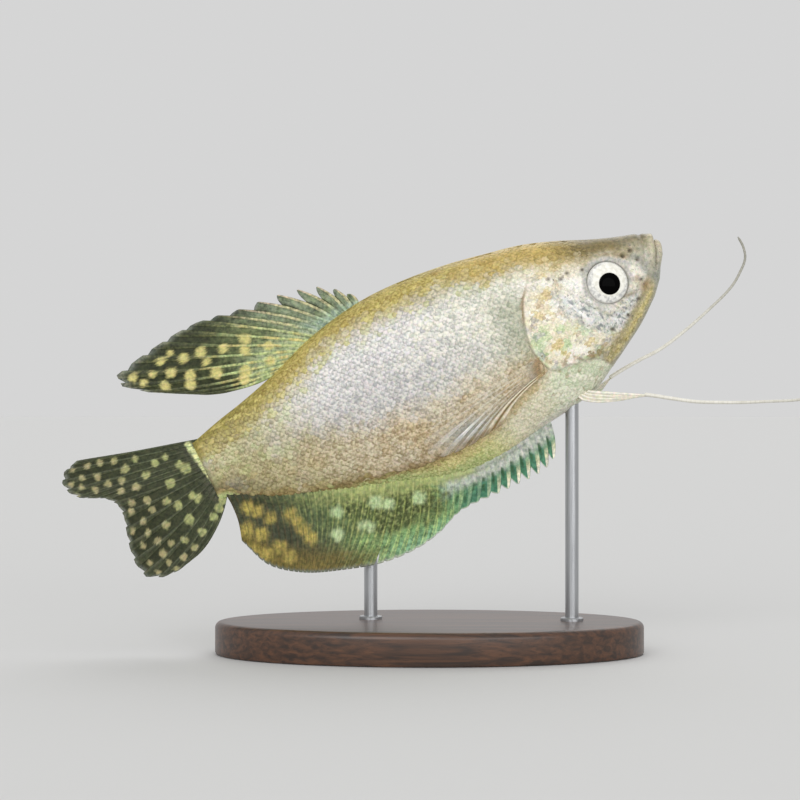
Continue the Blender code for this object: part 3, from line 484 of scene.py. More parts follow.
    paint("#C9C098", "#9C8F62", 0.9 * head * smooth(5.0, 1.6, down + 0.8 * patch) * smooth(71, 77, x))
    paint("#E0D48E", "#B09C56", 0.75 * head * ridge(line_distance(STRIPE_LINE, x, z) + 0.3 * fleck, 0.7))
    beside = line_distance(STRIPE_LINE, x, z, signed=True)
    paint("#8A774A", "#6C5A34", 0.75 * head * ridge(beside - 1.0, 0.35))
    paint("#F3EFD2", "#D2CAA0", 0.7 * head * ridge(beside - 1.7, 0.3))
    paint("#9E9060", "#7C6E42", 0.6 * head * ridge(beside + 1.2, 0.5))
    paint("#A5A79C", "#828479", smooth(85.8, 88.6, x + 0.3 * z) * (1 - 0.75 * gold))
    paint("#8F7B55", "#6E5C3A", 0.85 * blot(85.7, 2.2, 1.2, 0.7, 0.9, 0.5))
    paint("#D5CDB2", "#B3A888", 0.7 * ridge(slit - LIP_OFFSET, 0.8) * smooth(-4.5, -1.0, z))
    paint("#A58A60", "#7C6340", 0.85 * blot(87.2, -4.7, 1.0, 1.0, 1.1))
    paint("#A88F62", "#765E38", 0.8 * blot(73.3, -12.14, 2.2, 0.6, 1.0, -0.2))
    paint("#8E7448", "#6A5330", 0.7 * head * ridge(rim - 0.5, 0.7) * smooth(-9, -11, z)
          * smooth(0.1, 0.5, fleck))
    paint("#B59D78", "#8D7452", 0.8 * ridge(rim + 0.15, 0.45) * smooth(-2.5, 0.5, z) * smooth(5.5, 3.0, z))
    paint("#C9B18A", "#97794F", 0.95 * blot(62.7, -9.8, 1.0, 1.9, 0.95) * (rim < 0.2))
    paint("#BDBDA8", "#96977F", 0.6 * smooth(1.6, 0.3, down) * smooth(64, 69, x))
    reach, _, _ = eye_reach(points)
    paint("#C6C5BF", "#9F9E98", 0.85 * smooth(5.5, 4.7, reach + 0.5 * patch)
          * smooth(-7.5, -3.0, z - 0.4 * (x - 81)))
    paint("#A3A19A", "#8C8A83", smooth(4.2, 3.95, reach))
    paint("#8D7B5A", "#6B5B3E", 0.8 * blot(83.6, -5.0, 1.6, 0.5))
    # Painted shade: dark spots in the pits of the pores and nostrils
    for a, b in PORES + NOSTRILS:
        paint("#5F5644", "#423B2C", ridge(np.hypot(x - a + 0.1 * fleck, (z - b) * 1.2), 0.42))
    # Painted shade along the mouth's slit and in the fold behind the lips
    paint("#B9B09A", "#8F866F", 0.8 * ridge(slit, 0.25) * smooth(-3.8, -2.4, z))
    paint("#7A6B50", "#5A4D38", 0.8 * ridge(slit, 0.3) * smooth(2.2, 3.4, z))
    paint("#6E5F45", "#54472F", 0.8 * ridge(line_distance(FOLD_LINE, x, z), 0.3) * smooth(3.0, 4.4, z))
    return tones[:, 0], tones[:, 1]


def mesh_object(name, points, faces, finish, fields=(), bake=None, flat=False):
    """A mesh object in the model's frame. fields are point attributes, bake a UV for each face corner."""
    mesh = bpy.data.meshes.new(name)
    mesh.from_pydata(np.asarray(points, float).tolist(), [], faces)
    for key, values in dict(fields).items():
        values = np.asarray(values, float)
        if values.ndim == 1:
            mesh.attributes.new(key, "FLOAT", "POINT").data.foreach_set("value", values)
        elif key.endswith("_colour"):
            four = np.column_stack([values, np.ones(len(values))])
            mesh.attributes.new(key, "FLOAT_COLOR", "POINT").data.foreach_set("color", four.ravel())
        else:
            mesh.attributes.new(key, "FLOAT_VECTOR", "POINT").data.foreach_set("vector", values.ravel())
    if bake is not None:
        mesh.uv_layers.new(name="OFBake").data.foreach_set("uv", np.asarray(bake, float).ravel())
    if finish:
        mesh.materials.append(finish)
    if not flat:
        mesh.shade_smooth()
    mesh.update()
    made = bpy.data.objects.new(name, mesh)
    bpy.context.scene.collection.objects.link(made)
    return made


def faces_out(piece):
    """Turns the faces round if the closed mesh encloses a negative volume."""
    mesh = piece.data
    mesh.calc_loop_triangles()
    corners = np.empty(len(mesh.loop_triangles) * 3, int)
    mesh.loop_triangles.foreach_get("vertices", corners)
    points = np.empty(len(mesh.vertices) * 3)
    mesh.vertices.foreach_get("co", points)
    points = points.reshape(-1, 3) - points.reshape(-1, 3).mean(axis=0)
    if np.linalg.det(points[corners.reshape(-1, 3)]).sum() < 0:
        mesh.flip_normals()


def circle(sides):
    """The cosines and sines of points round a circle."""
    turn = 2 * math.pi * np.arange(sides) / sides
    return np.cos(turn), np.sin(turn)


def ring_faces(rows, count):
    """Faces of closed rings of points, then a fan at either end, whose two middle points follow the rings."""
    i, k = (part.ravel() for part in np.meshgrid(np.arange(rows - 1), np.arange(count), indexing="ij"))
    n = (k + 1) % count
    quads = np.stack([i * count + k, i * count + n, (i + 1) * count + n, (i + 1) * count + k], axis=1)
    last, middle = (rows - 1) * count, rows * count
    turns = [(k, (k + 1) % count) for k in range(count)]
    fans = [(n, k, middle) for k, n in turns] + [(last + k, last + n, middle + 1) for k, n in turns]
    return quads.tolist() + fans


def add(tree, kind, settings=None, inputs=None):
    """Adds a node, with its own settings, and its inputs' values or the sockets that feed them."""
    node = tree.nodes.new(kind)
    for key, value in (settings or {}).items():
        setattr(node, key, value)
    for key, value in (inputs or {}).items():
        if isinstance(value, bpy.types.NodeSocket):
            tree.links.new(value, node.inputs[key])
        else:
            node.inputs[key].default_value = value
    return node


def new_material(name):
    """An empty material, its tree and its shader."""
    made = bpy.data.materials.new(name)
    made.use_nodes = True
    tree = made.node_tree
    return made, tree, tree.nodes["Principled BSDF"]


def feed(tree, shader, **sockets):
    """Sets or links the shader's sockets, with underscores for the spaces in their names."""
    for key, value in sockets.items():
        target = shader.inputs[key.replace("_", " ")]
        if isinstance(value, bpy.types.NodeSocket):
            tree.links.new(value, target)
        else:
            target.default_value = value


def attribute(tree, name, output):
    return add(tree, "ShaderNodeAttribute", {"attribute_name": name}).outputs[output]


def calculated(tree, operation, *values):
    return add(tree, "ShaderNodeMath", {"operation": operation}, dict(enumerate(values))).outputs[0]


def vector(tree, operation, *values, **named):
    node = add(tree, "ShaderNodeVectorMath", {"operation": operation}, {**dict(enumerate(values)), **named})
    return node.outputs["Value" if operation == "LENGTH" else "Vector"]


def object_place(tree):
    return add(tree, "ShaderNodeTexCoord").outputs["Object"]


def noise_texture(tree, place, scale, detail, roughness=0.5, distortion=0.0):
    """Value and colours of noise whose patches are 1 / scale across. Three scales in a tuple stretch it."""
    if isinstance(scale, tuple):
        place, scale = vector(tree, "MULTIPLY", place, scale), 1.0
    node = add(tree, "ShaderNodeTexNoise", None, {"Vector": place, "Scale": scale, "Detail": detail,
                                                  "Roughness": roughness, "Distortion": distortion})
    return node.outputs["Fac"], node.outputs["Color"]


def ranged(tree, value, low, high, start=0.0, end=1.0, kind="LINEAR"):
    """The value, taken from low and high to start and end, and held between them."""
    return add(tree, "ShaderNodeMapRange", {"interpolation_type": kind},
               {"Value": value, "From Min": low, "From Max": high, "To Min": start, "To Max": end}).outputs[0]


def mixed(tree, share, first, second):
    """The first colour, and the second as share goes to 1. Each is a socket, a hex code or linear RGB."""
    inputs = {0: share}
    for place, colour in ((6, first), (7, second)):
        colour = linear(colour) if isinstance(colour, str) else colour
        inputs[place] = colour if isinstance(colour, bpy.types.NodeSocket) else (*colour, 1)
    return add(tree, "ShaderNodeMix", {"data_type": "RGBA"}, inputs).outputs[2]


def own_colours(tree, share, first="dark_colour", second="light_colour"):
    """Mixes two of the piece's own colours."""
    return mixed(tree, share, attribute(tree, first, "Color"), attribute(tree, second, "Color"))


def tinted(tree, colour, hues, strength, base):
    """The colour, its hue shifted a little by the colours of a noise."""
    return vector(tree, "MULTIPLY", colour, vector(tree, "MULTIPLY_ADD", hues, (strength,) * 3, (base,) * 3))


def bumped(tree, height, strength, depth, invert=False):
    return add(tree, "ShaderNodeBump", {"invert": invert},
               {"Height": height, "Strength": strength, "Distance": depth}).outputs[0]


def skin_material():
    """Painted and lacquered cast skin: fine mottling under a thin wet-looking varnish."""
    made, tree, shader = new_material("lacquered_fish_skin")
    # Mottling about 0.6 mm across, and pigment specks about 0.4 mm across
    mottle, hues = noise_texture(tree, object_place(tree), 1700.0, 4.0, 0.65)
    specks, _ = noise_texture(tree, object_place(tree), 2600.0, 1.0)
    base = own_colours(tree, ranged(tree, mottle, 0.34, 0.66))
    specks = ranged(tree, specks, 0.62, 0.7, 0.0, 0.7)
    spotted = calculated(tree, "MULTIPLY", specks, attribute(tree, "speckle", "Fac"))
    colour = tinted(tree, mixed(tree, spotted, base, "#5A5950"), hues, 0.45, 0.78)
    feed(tree, shader, Base_Color=colour, Normal=bumped(tree, mottle, 0.25, 0.00006), Roughness=0.38,
         Specular_IOR_Level=0.35, Coat_Weight=0.25, Coat_Roughness=0.18, IOR=1.45)
    return made


def scale_material():
    """Painted fish scale: a silvered plate with a pale spangle and a painted highlight in its middle, darker
    at its rim where shade between the scales is painted, under the same varnish.
    """
    made, tree, shader = new_material("silvered_scale")
    # Flecks about 0.5 mm across
    grain, hues = noise_texture(tree, object_place(tree), 1900.0, 4.0, 0.65)
    # The pale spangle in the middle of each scale's open part, which is also a painted highlight; the rim it
    # leaves darker is partly painted shade between the scales
    off = vector(tree, "MULTIPLY_ADD", attribute(tree, "blade", "Vector"), (2.3, 1.5, 0.0), (-1.25, 0.0, 0.0))
    spangle_and_highlight = ranged(tree, vector(tree, "LENGTH", off), 1.05, 0.15, 0.0, 0.34, "SMOOTHSTEP")
    own = calculated(tree, "MULTIPLY_ADD", attribute(tree, "tone", "Fac"), 0.5, spangle_and_highlight)
    share = calculated(tree, "ADD", own, ranged(tree, grain, 0.38, 0.62, -0.32, 0.6))
    colour = tinted(tree, own_colours(tree, share), hues, 0.4, 0.8)
    feed(tree, shader, Base_Color=colour, Normal=bumped(tree, grain, 0.2, 0.00004), Metallic=0.05,
         Roughness=0.38, Specular_IOR_Level=0.35, Coat_Weight=0.2, Coat_Roughness=0.2, IOR=1.5)
    return made


def fin_material(name, gloss):
    """Cast fin membrane: tinted web, ribbed by its rays and grained with pigment, lightly varnished."""
    made, tree, shader = new_material(name)
    # Streaks along the rays, and grains of pigment about 0.6 mm across
    streaks, _ = noise_texture(tree, attribute(tree, "lie", "Vector"), 1.0, 3.0)
    grains, hues = noise_texture(tree, object_place(tree), 1700.0, 3.0, 0.6)
    base = own_colours(tree, attribute(tree, "ridge", "Fac"), "web_colour", "ray_colour")
    both = calculated(tree, "ADD", ranged(tree, streaks, 0.32, 0.68, -0.42, 0.42),
                      ranged(tree, grains, 0.4, 0.6, -0.38, 0.38))
    gain = calculated(tree, "MULTIPLY_ADD", both, attribute(tree, "speckle", "Fac"), 1.0)
    colour = vector(tree, "SCALE", tinted(tree, base, hues, 0.4, 0.8), Scale=gain)
    feed(tree, shader, Base_Color=colour, Normal=bumped(tree, streaks, 0.3, 0.00006), Roughness=gloss,
         Specular_IOR_Level=0.12, Coat_Weight=0.05, Coat_Roughness=0.22,
         Alpha=attribute(tree, "cover", "Fac"))
    return made


def eye_material(settings):
    """Painted glass eye: black pupil, cream-white iris with a silver lower margin, under a polished dome."""
    made, tree, shader = new_material("painted_glass_eye")
    disc = attribute(tree, "disc", "Vector")  # millimetres on the eye's face, x forward and y up

    def inside(value, low, high):
        return ranged(tree, value, low, high, kind="SMOOTHSTEP")

    def reach(x, y):
        return vector(tree, "LENGTH", vector(tree, "SUBTRACT", disc, (x, y, 0.0)))

    # Clouding about 0.8 mm across
    mottle, _ = noise_texture(tree, disc, 1.2, 2.0)
    cloudy = ranged(tree, mottle, 0.4, 0.6)
    silver = inside(calculated(tree, "MULTIPLY_ADD", mottle, 0.9, reach(0.4, 0.3)), 3.45, 3.7)
    iris = mixed(tree, silver, mixed(tree, cloudy, settings.iris_colour, "#F6F5EC"),
                 mixed(tree, cloudy, "#C0C0BE", "#F4F3EC"))
    rimmed = mixed(tree, inside(reach(0.0, 0.0), 3.6, 3.85), iris, "#C6C5BE")
    radius = settings.pupil_size / 2 / MM
    pupil = inside(reach(0.02, -0.35), radius + 0.05, radius - 0.05)
    feed(tree, shader, Base_Color=mixed(tree, pupil, rimmed, "#050505"), Roughness=0.35,
         Specular_IOR_Level=0.0, Coat_Weight=0.08, Coat_Roughness=0.03, Coat_IOR=1.3)
    return made


def thread_material():
    """Cast resin filament, cream white, faintly jointed along its length and lightly varnished."""
    made, tree, shader = new_material("cast_resin_filament")
    beat = calculated(tree, "MULTIPLY", attribute(tree, "along", "Fac"), THREAD_BEAT)
    joint = calculated(tree, "SINE", beat)
    # Clouding about 1.1 mm across
    cloudy, _ = noise_texture(tree, object_place(tree), 900.0, 2.0)
    colour = mixed(tree, ranged(tree, joint, 0.6, 1.0, 0.0, 0.35), own_colours(tree, cloudy),
                   attribute(tree, "dark_colour", "Color"))
    feed(tree, shader, Base_Color=colour, Roughness=0.38, Coat_Weight=0.25, Coat_Roughness=0.2)
    return made


def wood_material(settings):
    """Stained and turned hardwood under satin lacquer: fine dark grain along the base, with soft gloss."""
    made, tree, shader = new_material("stained_hardwood")
    # Grain lines about 0.8 mm apart, drawn out along X, with pores about 0.2 mm wide
    rings, _ = noise_texture(tree, object_place(tree), (40.0, 1250.0, 1250.0), 5.0, distortion=0.6)
    pores, _ = noise_texture(tree, object_place(tree), (300.0, 5200.0, 5200.0), 2.0)
    base = mixed(tree, ranged(tree, rings, 0.35, 0.68), settings.wood_dark, settings.wood_light)
    colour = mixed(tree, ranged(tree, pores, 0.6, 0.72, 0.0, 0.6), base, "#1B110B")
    feed(tree, shader, Base_Color=colour, Normal=bumped(tree, pores, 0.2, 0.00005, invert=True),
         Roughness=0.42, Coat_Weight=0.35, Coat_Roughness=0.25)
    return made


def steel_material():
    """Drawn stainless rod, brushed along its length: fine bright lines and a long soft highlight."""
    made, tree, shader = new_material("brushed_stainless_steel")
    # Brush lines about 0.1 mm apart, drawn out along Z
    lines, _ = noise_texture(tree, object_place(tree), (9000.0, 9000.0, 120.0), 2.0)
    feed(tree, shader, Base_Color=mixed(tree, lines, "#8E9093", "#C6C8CA"), Metallic=1.0,
         Roughness=ranged(tree, lines, 0.0, 1.0, 0.24, 0.42), Normal=bumped(tree, lines, 0.15, 0.00003))
    return made


def floor_material(settings):
    """Matt painted board: one pale tone with a barely visible roller texture."""
    made, tree, shader = new_material("matt_painted_board")
    # Stipple about 1.4 mm across
    stipple, _ = noise_texture(tree, object_place(tree), 700.0, 3.0)
    feed(tree, shader, Base_Color=(*settings.floor_colour, 1), Normal=bumped(tree, stipple, 0.05, 0.0002),
         Roughness=0.85)
    return made


def bake_along(x):
    """How far along the skin's bake layout x lies, with more room for the head."""
    return np.interp(x, (-1.5, 60, 94), (0.01, 0.45, 0.99))


def build_skin():
    """One seamless skin over head, trunk and tail stem."""
    grid = skin_grid()
    points = grid["points"]
    rows, count = points.shape[:2]
    heel, tip = points[0].mean(axis=0), points[-1].mean(axis=0)
    tip[0] = SNOUT + 0.04
    points = np.concatenate([points.reshape(-1, 3), [heel, tip]])
    u = bake_along(grid["stations"])
    bake = [corner for a in range(rows - 1) for b in range(count)
            for corner in ((u[a], b), (u[a], b + 1), (u[a + 1], b + 1), (u[a + 1], b))]
    for start, middle, step in ((0.01, 0.0, 1), (0.99, 1.0, 0)):
        for b in range(count):
            bake += [(start, b + step), (start, b + 1 - step), (middle, b + 0.5)]
    light, dark = body_colours(points)
    x, z = points[:, 0], points[:, 2]
    speckle = np.clip(ridge(line_distance(CHEEK_LINE, x, z), 2.4) + 0.5 * smooth(84, 88, x) + 0.25, 0, 1)
    skin = mesh_object("fish_skin", to_model(points), ring_faces(rows, count), skin_material(),
                       {"light_colour": light, "dark_colour": dark, "speckle": speckle},
                       np.array(bake) / (1, count))
    faces_out(skin)
    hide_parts("head", "trunk", "tail_stem")
    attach(skin, "root")
    return grid


def scale_plate(settings):
    """One scale as a closed thin plate, x towards its free edge, with its own coordinates in blade."""
    sides = PLATE_SIDES
    turn = 2 * math.pi * (np.arange(sides) + 0.5) / sides
    length, width, lift = settings.scale_length / MM, settings.scale_width / MM, settings.scale_lift / MM
    outline = np.column_stack([0.5 * length * np.cos(turn),
                               0.5 * width * np.sign(np.sin(turn)) * np.abs(np.sin(turn)) ** 0.9])

    def raised(flat, rise):
        along, across = (flat / (0.5 * length, 0.5 * width)).T
        return np.column_stack([flat, lift * (0.6 * along + 0.15) - PLATE_ARCH * across**2 + rise])

    # Rings from the outer face's bevel down to the underside's edge, and the middles of both faces
    middle = np.zeros((1, 2))
    rings = [raised(outline * 0.88, 0.012), raised(outline, 0.0), raised(outline, -PLATE_THICK)]
    points = np.concatenate([*rings, raised(middle, PLATE_THICK), raised(middle, -PLATE_THICK)])
    blade = np.column_stack([0.5 + points[:, 0] / length, 2 * points[:, 1] / width, points[:, 2]])
    plate = mesh_object("scale_plate", points * MM, ring_faces(3, sides), None, {"blade": blade})
    faces_out(plate)
    return plate


def node_group(name, **sockets):
    """A geometry node group with these inputs besides its geometry, and its input node's outputs."""
    tree = bpy.data.node_groups.new(name, "GeometryNodeTree")
    for word, kind in {"Geometry": "Geometry", **sockets}.items():
        tree.interface.new_socket(word, in_out="INPUT", socket_type="NodeSocket" + kind)
    tree.interface.new_socket("Geometry", in_out="OUTPUT", socket_type="NodeSocketGeometry")
    return tree, add(tree, "NodeGroupInput").outputs


def finished(tree, geometry, material):
    """Ends a node group with its material."""
    done = add(tree, "GeometryNodeSetMaterial", None, {"Geometry": geometry, "Material": material})
    add(tree, "NodeGroupOutput", None, {"Geometry": done.outputs[0]})
    return tree


def named(tree, name, kind="FLOAT_VECTOR"):
    return add(tree, "GeometryNodeInputNamedAttribute", {"data_type": kind}, {"Name": name}).outputs[0]


def scale_tree():
    """Sets a plate on each point, turned to the skin, with its own tone and tilt, and its bake patch."""
    tree, given = node_group("lay_scales", Plate="Object", Seed="Int", Tilt="Float", Patch="Float",
                             Finish="Material")
    stand = add(tree, "FunctionNodeAlignRotationToVector", {"axis": "Z"}, {"Vector": named(tree, "outward")})
    lie = add(tree, "FunctionNodeAlignRotationToVector", {"axis": "X", "pivot_axis": "Z"},
              {"Rotation": stand.outputs[0], "Vector": named(tree, "rearward")})
    plate = add(tree, "GeometryNodeObjectInfo", {"transform_space": "ORIGINAL"}, {"Object": given["Plate"]})
    laid = add(tree, "GeometryNodeInstanceOnPoints", None,
               {"Points": given["Geometry"], "Instance": plate.outputs["Geometry"],
                "Rotation": lie.outputs[0], "Scale": named(tree, "size")})
    least = calculated(tree, "MULTIPLY", given["Tilt"], -1.0)
    tilt = [add(tree, "FunctionNodeRandomValue", {"data_type": "FLOAT"},
                {2: least, 3: given["Tilt"], "Seed": given["Seed"], 7: k}).outputs[1] for k in (1, 2, 3)]
    turn = add(tree, "ShaderNodeCombineXYZ", None, dict(enumerate(tilt)))
    tilted = add(tree, "GeometryNodeRotateInstances", None,
                 {"Instances": laid.outputs[0], "Rotation": turn.outputs[0]})
    tone = add(tree, "FunctionNodeRandomValue", {"data_type": "FLOAT"}, {"Seed": given["Seed"]})
    toned = add(tree, "GeometryNodeStoreNamedAttribute", {"data_type": "FLOAT", "domain": "INSTANCE"},
                {"Geometry": tilted.outputs[0], "Name": "tone", "Value": tone.outputs[1]})
    real = add(tree, "GeometryNodeRealizeInstances", None, {"Geometry": toned.outputs[0]})
    spot = vector(tree, "MULTIPLY_ADD", named(tree, "blade"), (1.0, 0.5, 0.0), (-0.5, 0.0, 0.0))
    spot = vector(tree, "ADD", named(tree, "root_uv"), vector(tree, "SCALE", spot, Scale=given["Patch"]))
    baked = add(tree, "GeometryNodeStoreNamedAttribute", {"data_type": "FLOAT2", "domain": "CORNER"},
                {"Geometry": real.outputs[0], "Name": "OFBake", "Value": spot})
    return finished(tree, baked.outputs[0], given["Finish"])


def made_real(name, source, tree, values):
    """The plain mesh object that the node tree makes of the source, with its inputs set by identifier."""
    modifier = source.modifiers.new("nodes", "NODES")
    modifier.node_group = tree
    for item in tree.interface.items_tree:
        if item.in_out == "INPUT" and item.name in values:
            modifier[item.identifier] = values[item.name]
    bpy.context.view_layer.update()
    evaluated = source.evaluated_get(bpy.context.evaluated_depsgraph_get())
    mesh = bpy.data.meshes.new_from_object(evaluated)
    mesh.name = name
    source.modifiers.clear()
    bpy.data.objects.remove(source)
    made = bpy.data.objects.new(name, mesh)
    bpy.context.scene.collection.objects.link(made)
    return made


def scale_roots(grid, side, pitch, row, span, keep):
    """Positions along x and round the ring for one side's rows of scales, where keep(x, z, rim) holds."""
    widest, way = (0.0, 1.0) if side > 0 else (2.0 * QUARTER, -1.0)
    found = []
    reach = int(28 / row)
    for j in range(-reach, reach + 1):
        w = j * row
        x = np.arange(*span, pitch) + (0.5 * pitch if j % 2 else 0.0)
        upper, lower = (np.interp(x, grid["stations"], length) for length in grid["lengths"].T)
        inside = (w < upper - 1.1 * row) & (w > -lower + 0.25 * row)
        share = w / (upper if w >= 0 else lower)
        found.append(np.array([x, widest + way * QUARTER * share])[:, inside])
    x, k = np.concatenate(found, axis=1)
    point = on_grid(grid, x, k)
    rim = line_distance(RIM_LINE, point[:, 0], point[:, 2], signed=True)
    kept = keep(point[:, 0], point[:, 2], rim)
    return x[kept], k[kept]


def lay_scales(name, grid, x, k, size, kit, seed, tilt):
    """A scale on each root, coloured by its place. kit holds the node tree, the plate and the material."""
    tree, plate, finish = kit
    size = np.broadcast_to(size, len(x))
    chance = np.random.default_rng(seed)
    place = on_grid(grid, x, k)
    outward = on_grid(grid, x, k, "normals")
    rearward = on_grid(grid, x - 0.5, k) - on_grid(grid, x + 0.5, k)
    rearward[:, 1] = 0.5 * rearward[:, 1]
    rearward += 0.14 * chance.normal(size=rearward.shape)
    rearward -= outward * (rearward * outward).sum(axis=1)[:, None]
    rearward /= np.linalg.norm(rearward, axis=1)[:, None]
    # Each scale takes its colour from a little way off, so that the markings' borders break up
    shift = 0.35 * size[:, None] * chance.normal(size=place.shape) * (1.0, 0.0, 1.0)
    light, dark = body_colours(place + rearward * 0.4 + shift)
    size = size * (1 + 0.06 * chance.normal(size=len(x)).clip(-2, 2))
    # Rows waver. Scales lie flatter on the head and the golden back, and narrow and flattest at the crest
    crest = BACK(x) - place[:, 2]
    shift = 0.08 * chance.normal(size=place.shape).clip(-2, 2) * (1.0, 0.0, 1.0)
    place = place + shift * smooth(0.3, 3.0, crest)[:, None]
    flat = (1 - 0.55 * smooth(62, 70, x)) * (0.12 + 0.88 * smooth(0.0, 4.5, crest))
    flat *= 1 - 0.35 * smooth(-1.0, 1.0, place[:, 2] - GOLD_EDGE(x))
    narrow = 0.55 + 0.45 * smooth(0.2, 2.5, crest)
    count = grid["points"].shape[1]
    fields = {"outward": to_model(outward, True), "rearward": to_model(rearward, True),
              "size": np.column_stack([size, size * narrow, size * flat]),
              "light_colour": light, "dark_colour": dark,
              "root_uv": np.column_stack([bake_along(x), (k % count) / count, 0 * x])}
    points = mesh_object(name + "_roots", to_model(place), [], None, fields)
    coat = made_real(name, points, tree,
                     {"Plate": plate, "Seed": seed, "Tilt": tilt, "Patch": 0.003, "Finish": finish})
    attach(coat, "root")
    return coat


def build_scales(settings, grid):
    """Rows of overlapping scales on both flanks, and smaller ones on the head and the fin's sheath."""
    kit = scale_tree(), scale_plate(settings), scale_material()
    pitch, row = settings.scale_pitch / MM, settings.scale_row / MM
    small = settings.head_scale

    def on_nape(x, z):
        return (z > 8.4 - 0.25 * (x - 68)) & (x < 79.5)

    def on_flank(x, z, rim):
        return ((rim < -0.75 + 1.4 * smooth(4.5, 6.5, z)) | on_nape(x, z)) & (z > FLANK_EDGE(x) + 0.1)

    def on_sheath(x, z, rim):
        return (rim < -0.6) & (z < FLANK_EDGE(x) - 0.25) & (z > BELLY(x) + 0.5)

    def on_head(x, z, rim):
        kept = (rim > 0.7) & ~on_nape(x, z) & (x + 0.35 * z < 82.5) & (z > BELLY(x) + 1.0)
        kept &= (line_distance(GROOVE_LINE, x, z) > 0.4) & (line_distance(CHEEK_LINE, x, z) > 2.2)
        for a, b, clear in ((EYE_X, EYE_Z, EYE_CLEAR), *((a, b, PORE_CLEAR) for a, b in PORES)):
            kept &= np.hypot(x - a, z - b) > clear
        return kept

    for side, word, seed in ((-1, "right", settings.seed), (1, "left", settings.seed + 1)):
        x, k = scale_roots(grid, side, pitch, row, (0.5, 80.0), on_flank)
        for part, near in (("rear", x < 33.0), ("fore", x >= 33.0)):
            size = 0.86 + 0.14 * smooth(2, 26, x[near])
            lay_scales(f"scales_{part}_{word}", grid, x[near], k[near], size, kit, seed + len(part), 0.05)
        roots = scale_roots(grid, side, 0.66 * pitch, 0.66 * row, (2.0, 78.0), on_sheath)
        lay_scales("scales_sheath_" + word, grid, *roots, 0.62, kit, seed + 10, 0.03)
        roots = scale_roots(grid, side, small * pitch, small * row, (62.0, 90.0), on_head)
        lay_scales("scales_head_" + word, grid, *roots, 0.9 * small, kit, seed + 20, 0.03)
    bpy.data.objects.remove(kit[1])


def build_eyes(settings):
    """Two domed eyes with their own face coordinates, so that pupil and iris stay crisp."""
    finish = eye_material(settings)
    radius = (EYE_RADIUS**2 + EYE_DOME**2) / (2 * EYE_DOME)
    profile = [(EYE_RADIUS - 0.1, -EYE_DEPTH), (EYE_RADIUS, -EYE_DEPTH + 0.1), (EYE_RADIUS, -0.12)]
    profile += [(0.995 * r, EYE_DOME - radius + math.sqrt(radius**2 - r**2))
                for r in EYE_RADIUS * np.sin(np.linspace(math.pi / 2, 0, 22))[:-1]]
    across, up = (part[:, None] for part in circle(64))
    for side, word in ((-1, "right"), (1, "left")):
        axis = np.array([math.sin(EYE_TURN), side * math.cos(EYE_TURN), 0.0])
        forward = np.array([math.cos(EYE_TURN), -side * math.sin(EYE_TURN), 0.0])
        centre = np.array([EYE_X, side * EYE_OUT, EYE_Z])
        points = [centre + h * axis + r * (across * forward + up * (0.0, 0.0, 1.0)) for r, h in profile]
        points += [[centre - EYE_DEPTH * axis, centre + EYE_DOME * axis]]
        disc = [r * np.hstack([across, up, 0 * up]) for r, _ in profile] + [np.zeros((2, 3))]
        eye = mesh_object("glass_eye_" + word, to_model(np.concatenate(points)),
                          ring_faces(len(profile), 64), finish, {"disc": np.concatenate(disc)})
        faces_out(eye)
        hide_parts("eye_" + word)
        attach(eye, "root")


def bowed(root, tip, bow, t):
    """Points at t along a ray in the plane that bows sideways by a share of its length."""
    along = tip - root
    t = t[:, None]
    return root + along * t + np.array([-along[1], along[0]]) * bow * 4 * t * (1 - t)


def fin_rows(length, rows):
    """Row positions along a ray, from inside the body out to its tip."""
    return np.concatenate([[-ROOT_SINK / length, -0.4 * ROOT_SINK / length], np.linspace(0, 1, rows)])


def swing(v, power=2):
    """How far a ray has swung out at v, as a share of its tip's swing. It starts where it leaves the body."""
    return np.maximum(v, 0) ** power


def fin_rays(count, rows, root, tip, bow, sideways):
    """Rays from functions of t, 0 at the first ray and 1 at the last. sideways(t, v, x, z) gives y."""
    rays = []
    for t in np.arange(count) / (count - 1):
        start, end = np.array(root(t), float), tip(t)
        v = fin_rows(np.linalg.norm(end - start), rows)
        x, z = bowed(start, end, bow(t), v).T
        rays.append(np.column_stack([x, sideways(t, v, x, z), z]))
    return np.array(rays)


